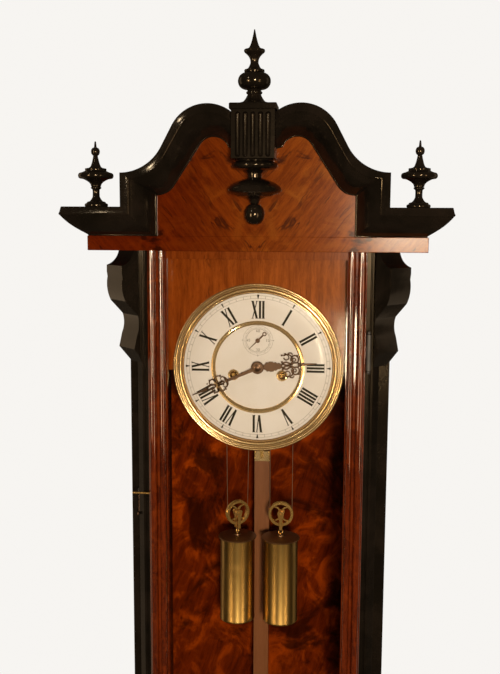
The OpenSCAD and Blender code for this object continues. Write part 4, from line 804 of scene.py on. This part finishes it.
def stileSection(s):
    t = s["thick"]
    points = [(0, 0), (0, t - 5.6), (0.5, t - 5), (1.2, t - 5)] + arcPath(5.5, t - 4.2, 4.1, 185, 0, 20)
    points += [(9.7, t - 6), (10.3, t - 6.4), (12.4, t - 6.4), (12.9, t - 6)]
    points += arcPath(16.5, t - 3.7, 3.6, 180, -5, 20)
    return points + [(20.4, t - 6.6), (20.9, t - 7), (s["stile"], t - 7), (s["stile"], 0)]


def makeDoor(s):
    section, half, back, low = stileSection(s), s["halfW"], s["back"], s["low"]
    bm = bmesh.new()
    for sign in (-1, 1):
        extruded(bm, [at(sign * (half - a), back + c, low) for a, c in section], at(0, 0, s["top"] - low))
    inside = half - s["stile"]
    extruded(bm, [at(-inside - 3, back + c * 0.985, low + a) for a, c in section], at(2 * inside + 6, 0, 0))
    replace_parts(newObject("doorMouldings", bm, "door", "mahogany"), "door_frame")
    bm = bmesh.new()
    place = Matrix.Translation(at(-half - 10.5, s["studY"], s["studZ"])) @ Matrix.Rotation(math.pi / 2, 4, "Y")
    bmesh.ops.create_cone(
        bm, cap_ends=True, segments=24, radius1=s["studR"] * mm, radius2=s["studR"] * mm, depth=s["studLong"] * mm,
        matrix=place)
    softened(newObject("doorStud", bm, "door", "brass"), 0.4)


makeDoor(door)
print("posts, corbels and door made")


# Turned work: finials, pendant and drops, from (radius, height) pairs
def beadCurve(rIn, rOut, z0, z1, count=14):
    angles = [math.pi * i / count for i in range(count + 1)]
    return [(rIn + (rOut - rIn) * math.sin(a), (z0 + z1) / 2 - (z1 - z0) / 2 * math.cos(a)) for a in angles]


def hollowCurve(r0, z0, r1, z1, count=12):
    power = 0.45 if r1 < r0 else 2.2
    return [(r0 + (r1 - r0) * (i / count) ** power, z0 + (z1 - z0) * i / count) for i in range(count + 1)]


def turnedUp(bm, x, y, z, profile, up=1, steps=56):
    points = [(0.005, profile[0][1]), *profile, (0.005, profile[-1][1])]
    spun(bm, [at(x + r, y, z + up * h) for r, h in points], at(x, y, 0), (0, 0, 1), steps, 8e-6)


def middleFinial():
    k = 75 / 83
    profile = [(16.4, 0), (16.6, 0.6), (16, 1.2)] + hollowCurve(15, 1.7, 7, 11 * k) + [(7, 11.3 * k)]
    profile += beadCurve(7.2, 8.4, 11.6 * k, 14.6 * k) + [(7, 15.2 * k), (7.6, 16.4 * k)]
    profile += beadCurve(9.6, 17, 17 * k, 35 * k, 20) + [(9.4, 35.6 * k), (10.3, 36 * k), (10.5, 37.2 * k), (10.3, 38.5 * k)]
    profile += hollowCurve(9, 39 * k, 4.1, 46 * k) + hollowCurve(4.2, 47 * k, 9.5, 57 * k)
    profile += [(10.5, 58 * k), (10.9, 59.4 * k), (10.5, 60.8 * k)] + hollowCurve(8, 61.5 * k, 0.5, 75, 16)
    bm = bmesh.new()
    turnedUp(bm, 0, 190.5, 81, profile)
    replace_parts(newObject("middleFinialTurned", bm, "root", "ebony"), "middle_finial")


def sideFinials():
    k = 69.5 / 73
    profile = beadCurve(11.5, 12.5, 0, 3.5, 8) + [(10.4, 3.9), (10, 5)] + hollowCurve(9, 5.5, 3.8, 11) + [(3.7, 15)]
    profile += [(3.8, 19 * k)] + beadCurve(4.4, 5.6, 20 * k, 22.6 * k, 10) + hollowCurve(5.4, 23 * k, 13.6, 31 * k)
    profile += beadCurve(16.5, 18.9, 31.5 * k, 38 * k) + [(14.6, 38.6 * k), (11.6, 40 * k), (11.3, 41 * k), (11.5, 42 * k)]
    profile += [(11.2, 42.8 * k)] + hollowCurve(7.5, 43.5 * k, 2.4, 57 * k) + beadCurve(1.8, 4.7, 57 * k, 66 * k)
    profile += [(1.4, 66.6 * k), (0.9, 68.5), (0.35, 69.5)]
    bm = bmesh.new()
    for x in (-172, 172):
        turnedUp(bm, x, 178, -24, profile)
    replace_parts(newObject("sideFinialsTurned", bm, "root", "ebony"), "side_finials")


def pendantDrop():
    profile = [(20, 0), (20.3, 0.7), (20, 1.5)] + beadCurve(19, 24.5, 2, 10, 16) + [(17.6, 10.3)]
    profile += hollowCurve(16, 10.5, 7.6, 14) + [(7.4, 15.5), (7.4, 18.5), (8.4, 19.4), (12, 20.2), (16.5, 21.6)]
    profile += [(20.5, 23.3), (24, 25.3), (26.6, 27.4), (28.2, 29.4), (28.8, 31.2), (28.4, 32.6), (26.8, 34.1)]
    profile += [(23.4, 35.7), (18.5, 37.1), (17.9, 37.7), (12.4, 38.8), (8.6, 40)]
    profile += hollowCurve(7.2, 40.8, 4.6, 45.5) + beadCurve(3, 10.8, 46, 67.5, 22)
    bm = bmesh.new()
    turnedUp(bm, 0, 181, 25.5, profile, -1, 64)
    cutAway(bm, at(0, 172, 0), (0, 1, 0), clear_outer=True)
    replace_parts(newObject("pendantTurned", bm, "root", "ebony"), "pendant")


def dropFinials():
    profile = [(14, 0), (14.2, 1.5), (14, 3)] + hollowCurve(13, 3, 6, 10) + beadCurve(6, 9, 10, 14)
    profile += beadCurve(10, 17, 16, 32, 18) + hollowCurve(9, 33, 4, 42) + beadCurve(3, 7.5, 43, 58, 18) + [(0.5, 60)]
    bm = bmesh.new()
    for x, y, z, k in ((0, 136, -981, 1), (-132.5, 130, -935, 0.8), (132.5, 130, -935, 0.8)):
        turnedUp(bm, x, y, z, [(r * k, h * k) for r, h in profile], -1)
    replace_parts(newObject("dropsTurned", bm, "root", "ebony"), "drop_finials")


middleFinial()
sideFinials()
pendantDrop()
dropFinials()

# Fluted block: the front is a fine grid pressed in by the flutes
fluted = {"half": 22.5, "low": 25.5, "top": 74.5, "front": 207, "back": 172, "count": 5, "radius": 2.6}


def flutedBlock(s):
    half, r = s["half"], s["radius"]
    pitch = (2 * half - 6) / s["count"]
    centres = [(i - (s["count"] - 1) / 2) * pitch for i in range(s["count"])]
    low, top = s["low"] + 4, s["low"] + 44
    xs, zs = {-half, half}, {s["low"], s["top"]}
    for c in centres:
        xs |= {round(c - r * math.cos(math.pi * i / 12), 4) for i in range(13)} | {c - r - 0.15, c + r + 0.15}
    for i in range(7):
        step = r * math.sin(math.pi / 2 * i / 6)
        zs |= {round(low - step, 4), round(top + step, 4)}
    xs, zs = sorted(xs), sorted(zs)
    bm = bmesh.new()

    def depth(x, z):
        over = max(low - z, z - top, 0)
        return max(math.sqrt(max(r * r - (x - c) ** 2 - over * over, 0)) for c in centres)

    grid = [[bm.verts.new(at(x, s["front"] - depth(x, z), z)) for x in xs] for z in zs]
    for a, b in zip(grid, grid[1:]):
        for k in range(len(xs) - 1):
            bm.faces.new((a[k], a[k + 1], b[k + 1], b[k]))
    border = grid[0] + [row[-1] for row in grid[1:]] + grid[-1][-2::-1] + [row[0] for row in grid[-2:0:-1]]
    rear = [bm.verts.new(Vector((v.co.x, -s["back"] * mm, v.co.z))) for v in border]
    for k in range(len(border)):
        n = (k + 1) % len(border)
        bm.faces.new((border[k], border[n], rear[n], rear[k]))
    bm.faces.new(rear)
    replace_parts(newObject("blockFluted", bm, "root", "ebonySatin"), "fluted_block")
    bm = bmesh.new()
    boxShape(bm, -24.5, 24.5, 172, 209.5, 74.5, 81)
    softened(newObject("blockCap", bm, "root", "ebony"), 1.3, 4)


flutedBlock(fluted)
print("turned work made")

# Bezel: several fine turned beads, with dark grooves between them; the grooves and the inner lip take a dark patina
# that is partly painted shade
bezel = {"grooves": (87.9, 92, 93.7, 96.4), "reach": 0.33, "lip": 86.3}


def bezelPiece(s):
    profile = [(86.2, 124.2), (86.2, 126.9), (85.4, 127)] + arcPath(86.5, 128.3, 1.1, 180, 15, 8) + [(87.8, 127.9)]
    profile += arcPath(89.9, 128.3, 1.75, 175, 10, 12) + [(91.9, 127.8), (92.1, 127.3)]
    profile += arcPath(92.8, 127.4, 0.7, 160, 10, 6) + [(93.7, 126.9)] + arcPath(95, 126.8, 1.2, 165, 10, 10)
    profile += [(96.4, 126.3)] + arcPath(97.2, 126.1, 1.3, 150, -5, 8) + [(98.5, 124.1), (96, 124.1)]
    bm = bmesh.new()
    latheOn(bm, dialZ, profile, 144)
    piece = newObject("bezelBeaded", bm, "root", "bezel")
    piece.data.materials.append(materials["patinaAndShade"])
    # Faces in the grooves and at the inner lip get the dark patina, partly painted shade
    for face in piece.data.polygons:
        reach = reachOf(face.center)
        if min(abs(reach - groove) for groove in s["grooves"]) < s["reach"] or reach < s["lip"]:
            face.material_index = 1
    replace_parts(piece, "bezel")


bezelPiece(bezel)

# Weights, stirrups, pulleys and gut lines
hanging = {
    "x": 26.5, "y": 90.5, "top": -420, "low": -526, "pulleyZ": -391, "line": 13.5, "turn": 32, "drumX": 40,
    "drumZ": -214.5, "postZ": -253.1, "strands": 30,
}


def placed(bm, degrees, x, y, z):
    # A shape drawn round the dial centre at the wall, turned about the vertical and set in its place
    bmesh.ops.translate(bm, verts=bm.verts, vec=at(0, 0, -dialZ))
    bmesh.ops.rotate(bm, verts=bm.verts, cent=(0, 0, 0), matrix=Matrix.Rotation(math.radians(degrees), 3, "Z"))
    bmesh.ops.translate(bm, verts=bm.verts, vec=at(x, y, z))


def tubeAlong(bm, points, radius, sides=8):
    rings = []
    for i, p in enumerate(points):
        ahead = (points[min(i + 1, len(points) - 1)] - points[max(i - 1, 0)]).normalized()
        across = ahead.cross(Vector((0, 1, 0)) if abs(ahead.y) < 0.9 else Vector((1, 0, 0))).normalized()
        up = across.cross(ahead)
        turns = [math.tau * k / sides for k in range(sides)]
        rings.append([p + radius * mm * (across * math.cos(t) + up * math.sin(t)) for t in turns])
    skin(bm, rings)


def makeWeight(sign, node, s):
    x, y, h = sign * s["x"], s["y"], s["top"] - s["low"]
    turn = s["turn"] if sign < 0 else 0
    shell = [(17.5, 0.5), (18.2, 0.1), (20.3, 0), (21.1, 0.5), (21.4, 1.3), (21.4, 2.3), (21, 3.2), (21, h - 2.2)]
    bm = bmesh.new()
    turnedUp(bm, x, y, s["low"], shell, steps=72)
    shellPiece = newObject(node + "Shell", bm, node, "weight")
    cap = [(21, -2.2), (22.9, -1.9), (23.25, -1.4), (23.25, -0.8), (22.9, -0.35), (20.5, -0.1), (6, 1), (4.2, 1.1)]
    bm = bmesh.new()
    turnedUp(bm, x, y, s["top"], cap + [(3.9, 2.1), (2.4, 2.8)], steps=72)
    newObject(node + "Cap", bm, node, "cap")
    bm = bmesh.new()
    plate = [(3.2, 3.4), (4.2, 1.2), (3.4, -2), (1.9, -7), (1.7, -19.5)]
    for side in (-1, 1):
        outline = bothHalves(plate)
        prism(bm, outline[-2:] + [(0, 4.3)] + outline[:-2], (side * 4.4, side * 5.2))
    prism(bm, taper(1.7, -18.7, 1.7, -19.7), (-5.2, 5.2))
    placed(bm, turn, x, y, s["pulleyZ"])
    softened(newObject(node + "Stirrup", bm, node, "brass"), 0.2)
    centre = at(x, y, s["pulleyZ"])
    tilt = math.radians(turn + 35)
    axis = Vector((math.cos(tilt), math.sin(tilt), 0))
    loop = [math.radians(-60 + 335 * i / 24) for i in range(25)]
    bm = bmesh.new()
    tubeAlong(bm, [
        centre + at(0, 0, -22.8) + mm * 3 * (axis * math.cos(t) + Vector((0, 0, 1)) * math.sin(t)) for t in loop], 0.75)
    tubeAlong(bm, [at(x, y, s["top"] + 1.5), at(x, y, s["top"] + 5)], 1, 12)
    pin = Matrix.Rotation(math.radians(turn), 3, "Z") @ at(0, 5.7, 0)
    tubeAlong(bm, [centre - pin, centre + pin], 1.1, 16)
    newObject(node + "Hook", bm, node, "brass")
    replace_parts(shellPiece, node)


def makePulley(sign, node, s):
    rim = [(11.7, -2.1), (12.2, -2.5), (15, -2.5), (15, -2.1), (13, -0.6), (12.7, 0), (13, 0.6), (15, 2.1)]
    hub = [(1.3, -2.5), (2.6, -2.5), (3, -1.5), (3, 1.5), (2.6, 2.5), (1.3, 2.5), (1.3, -2.5)]
    bm = bmesh.new()
    latheOn(bm, dialZ, rim + [(15, 2.5), (12.2, 2.5), (11.7, 2.1), (11.7, -2.1)], 64)
    for quarter in range(4):
        bow = 1 if quarter % 2 else -1
        path = [(bow * 2.4 * math.sin(math.pi * t / 10), 2 + 10.2 * t / 10) for t in range(11)]
        bandShape(bm, path, (2, 1.7), (-0.8, 0.8), 90 * quarter + 45)
    latheOn(bm, dialZ, hub, 32)
    placed(bm, s["turn"] if sign < 0 else 0, sign * s["x"], s["y"], s["pulleyZ"])
    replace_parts(newObject(node + "Wheel", bm, node, "brass"), node)


def makeLine(sign, node, s):
    twist = math.radians(s["turn"]) if sign < 0 else 0
    out, reach, strands = s["line"] * math.sin(twist), s["line"] * math.cos(twist), s["strands"]
    top = at(sign * s["drumX"], s["y"] + out, s["drumZ"])
    post = at(sign * (s["x"] - s["line"]), s["y"] - out, s["postZ"])
    bend = []
    for i in range(19):
        c, d = math.cos(math.pi * i / 18), math.sin(math.pi * i / 18)
        bend.append(at(sign * (s["x"] + reach * c), s["y"] + out * c, s["pulleyZ"] - s["line"] * d))
    path = [top.lerp(bend[0], i / strands) for i in range(strands)] + bend
    path += [bend[-1].lerp(post, i / strands) for i in range(1, strands + 1)]
    bm = bmesh.new()
    tubeAlong(bm, path, 0.38)
    line = newObject(node + "Gut", bm, None, "gut")
    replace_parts(line, node)
    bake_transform(line)


for sign, side in ((-1, "going"), (1, "strike")):
    makeWeight(sign, side + "_weight", hanging)
    makePulley(sign, side + "_pulley", hanging)
    makeLine(sign, side + "_line", hanging)
print("weights and lines made")

# Plate on the head of the pendulum rod
bm = bmesh.new()
prism(bm, taper(9.4, -132, 8, -119), (51, 52.2))
softened(newObject("rodHeadPlate", bm, "pendulum", "bezel"), 0.3)

# Side frames: mitred stiles and rails with a rounded moulding round the glass
sideFrame = {
    "inner": 132.5, "outer": 150.5, "open": (20, 99, -850, -91), "edge": (0, 119, -885, -71),
    "groove": (140.5, 142.5, 5),
}


def paneLoop(x, box, d):
    # Upright rectangle at x, grown by d on every side
    y0, y1, z0, z1 = box
    return [at(x, y, z) for y, z in ((y0 - d, z0 - d), (y1 + d, z0 - d), (y1 + d, z1 + d), (y0 - d, z1 + d))]


def makeSideFrames(s):
    g0, g1, deep = s["groove"]
    inner, outer = s["inner"], s["outer"]
    section = [(0, inner + 0.5), (0, g0), (deep, g0), (deep, g1), (0, g1), (0, g1 + 1.6)]
    section += [(d, outer - 5.6 + x) for d, x in arcPath(5, 0, 4.4, 180, 90, 8)] + [(5.2, outer - 0.7), (6, outer)]
    for sign in (-1, 1):
        loops = [paneLoop(sign * x, s["open"], d) for d, x in section]
        loops += [paneLoop(sign * x, s["edge"], -d) for d, x in ((0.6, outer), (0, outer - 0.6), (0, inner))]
        bm = bmesh.new()
        skin(bm, loops + [paneLoop(sign * inner, s["open"], 0.5)], closed=True)
        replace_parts(newObject("sideFrameLeft" if sign < 0 else "sideFrameRight", bm, "root", "ebony"), "side_frames")


makeSideFrames(sideFrame)

# Base moulding: fillet, hollow, bead and fascia round three sides
baseRun = {"half": 150.5, "front": 146, "top": -885}


def makeBase(s):
    section = [(3, 0), (3.6, -0.5), (3.6, -2.4), (3, -2.9), (3, -3.6)] + arcPath(12.4, -3.6, 9.4, 184, 262, 12)
    section += [(12.6, -13), (12.6, -14.2)] + arcPath(11.7, -16.6, 2.3, 80, -80, 10)
    section += [(12.3, -19.4), (12.9, -20), (12.9, -29)] + arcPath(14, -29, 1.1, 185, 265, 4)
    section += [(14, -30.6), (14, -33.5), (13.5, -34)]
    loops = []
    for o, z in section:
        x, y, h = s["half"] + o, s["front"] + o, s["top"] + z
        loops.append([at(-x, 0, h), at(-x, y, h), at(x, y, h), at(x, 0, h)])
    bm = bmesh.new()
    skin(bm, loops)
    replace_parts(newObject("baseMoulded", bm, "root", "ebony"), "base_moulding")


makeBase(baseRun)


# Pieces kept in their drawn shape with the edges eased
def eased(node, body, key, width):
    bm = bmesh.new()
    bm.from_mesh(nodes[node].data)
    bmesh.ops.remove_doubles(bm, verts=bm.verts, dist=0.00001)
    bmesh.ops.dissolve_limit(bm, angle_limit=math.radians(1), verts=bm.verts, edges=bm.edges)
    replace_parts(softened(newObject(node + "Eased", bm, body, key), width), node)


# The front plate takes the dark patina, painted shade that darkens the winding holes it shows through
for node, key, width in (
        ("base_apron", "ebony", 1), ("backboard", "burl", 0.5), ("frieze", "walnut", 0.5),
        ("movement_bracket", "iron", 1.2), ("hanger_plate", "steel", 0.3), ("back_plate", "brass", 0.25),
        ("front_plate", "patinaAndShade", 0.25), ("case_boards", "burl", 0.3)):
    eased(node, "root", key, width)
eased("door_hook", "door_hook", "bronze", 0.3)
eased("pendulum_rod", "pendulum", "pine", 0.5)
print("case pieces eased")

# Bob: a spun lens with a rolled rim and two fine turned lines
bob = {"z": -719, "y": 48, "r": 62, "half": 13.5, "edge": 2.5, "dip": 0.25, "dips": (14, 25)}


def makeBob(s):
    half = []
    for i in range(33):
        t = 0.962 * i / 32
        dip = s["dip"] if i in s["dips"] else 0
        half.append((max(s["r"] * t, 0.01), s["edge"] + (s["half"] - s["edge"]) * (1 - t * t) - dip))
    half += [(s["r"] - d, y) for d, y in ((2.2, 2.9), (1.6, 3.1), (0.5, 2.5), (0, 1.2), (0, 0))]
    bm = bmesh.new()
    latheOn(bm, s["z"], [(r, s["y"] + y) for r, y in half] + [(r, s["y"] - y) for r, y in half[-2::-1]], 128)
    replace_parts(newObject("bobLens", bm, "pendulum", "brass"), "pendulum_bob")


makeBob(bob)

# Degree marks on the beat plate
bm = bmesh.new()
for step in range(-5, 6):
    low = 33 if step % 5 == 0 else 34.6
    prism(bm, taper(0.25, -36.8, 0.25, -low), (13.98, 14.07), 8 * step, -805)
newObject("beatMarks", bm, "root", "ink", smooth=False)
print("base, bob and beat plate made")


# Floor, lamps and backdrop
def backdrop():
    material, tree, shader = startMaterial("paleGround")
    feed(tree, shader, {"Base Color": (0.86, 0.84, 0.81), "Roughness": 0.9})
    bm = bmesh.new()
    bmesh.ops.create_grid(bm, x_segments=1, y_segments=1, size=1.1)
    materials["ground"] = material
    floor = newObject("floor", bm, None, "ground", smooth=False)
    floor.location = (0, 0, -1.35)
    floor.visible_glossy = False


backdrop()


def areaLight(name, place, target, size, power, colour, gloss=True, diffuse=True):
    data = bpy.data.lights.new(name, "AREA")
    data.shape = "RECTANGLE"
    data.size, data.size_y = size
    data.energy = power
    data.color = colour
    lamp = linked(name, data)
    lamp.location = place
    lamp.rotation_euler = (Vector(target) - Vector(place)).to_track_quat("-Z", "Y").to_euler()
    lamp.visible_camera = False
    lamp.visible_glossy = gloss
    lamp.visible_diffuse = diffuse


# name, place, target, size, power, colour, shown in gloss, lights matt surfaces
lamps = (
    ("key", (0.34, -2.1, -0.02), (0, 0, -0.15), (0.22, 0.26), 38, (1, 0.82, 0.6)),
    ("fill", (-1.7, -1.5, 0.9), (0, 0, -0.2), (0.6, 0.6), 9, (1, 0.84, 0.64), False),
    ("spark", (-1.2, -1.7, 1), (0, 0, 0), (0.12, 0.12), 4, (1, 0.93, 0.82), True, False),
    ("glint", (0.135, -2, -0.44), (0, 0, -0.2), (0.06, 0.2), 2.2, (1, 0.8, 0.52)),
    ("leftCard", (-1, -1.5, -0.28), (0, 0, -0.2), (0.3, 0.8), 8, (1, 0.7, 0.42), True, False),
    ("leftStrip", (-1, -1.5, -0.21), (0, 0, -0.2), (0.12, 0.26), 6, (1, 0.82, 0.54), True, False),
    ("rightCard", (1.05, -1.35, -0.3), (0, 0, -0.3), (0.25, 0.9), 5, (1, 0.7, 0.42), True, False),
    ("rightStrip", (1.05, -1.35, -0.2), (0, 0, -0.2), (0.12, 0.24), 3.6, (1, 0.84, 0.58), True, False),
    ("wallLeft", (-0.8, 0.12, -0.3), (-0.1, -0.12, -0.3), (0.3, 1.5), 1, (1, 0.74, 0.48)),
    ("wallRight", (0.8, 0.12, -0.3), (0.1, -0.12, -0.3), (0.3, 1.5), 0.6, (1, 0.8, 0.58)),
    ("above", (0.1, -0.5, 1.8), (0, -0.1, -0.2), (1, 0.5), 6, (1, 0.86, 0.66), False),
)
for lamp in lamps:
    areaLight(*lamp)

world = bpy.data.worlds.new("room")
bpy.context.scene.world = world
world.use_nodes = True
tree = world.node_tree
dim = feed(tree, tree.nodes["Background"], {"Color": (0.55, 0.42, 0.28), "Strength": 0.12})
white = addNode(tree, "Background", {"Color": (0.93, 0.91, 0.88), "Strength": 1})
ray = addNode(tree, "LightPath", {}).outputs["Is Camera Ray"]
blend = addNode(tree, "MixShader", {0: ray, 1: dim.outputs[0], 2: white.outputs[0]})
feed(tree, tree.nodes["World Output"], {"Surface": blend.outputs[0]})

# Camera: focal length in pixels of a picture 500 wide
cameraSettings = {
    "place": (0.08094, -1.11076, -0.0389), "yaw": 0.0912, "pitch": 0.132, "roll": -0.005, "focal": 870,
    "sensor": 36, "wide": 500,
}


def makeCamera(s):
    data = bpy.data.cameras.new("photoCamera")
    data.sensor_fit = "HORIZONTAL"
    data.sensor_width = s["sensor"]
    data.lens = s["focal"] * s["sensor"] / s["wide"]
    camera = linked("photoCamera", data)
    camera.location = s["place"]
    turns = ((s["yaw"], "Z"), (math.pi / 2 - s["pitch"], "X"), (-s["roll"], "Z"))
    yaw, pitch, roll = (Matrix.Rotation(angle, 4, axis) for angle, axis in turns)
    camera.rotation_euler = (yaw @ pitch @ roll).to_euler()
    bpy.context.scene.camera = camera


makeCamera(cameraSettings)
scene = bpy.context.scene
scene.view_settings.view_transform = "Standard"

print("finished")
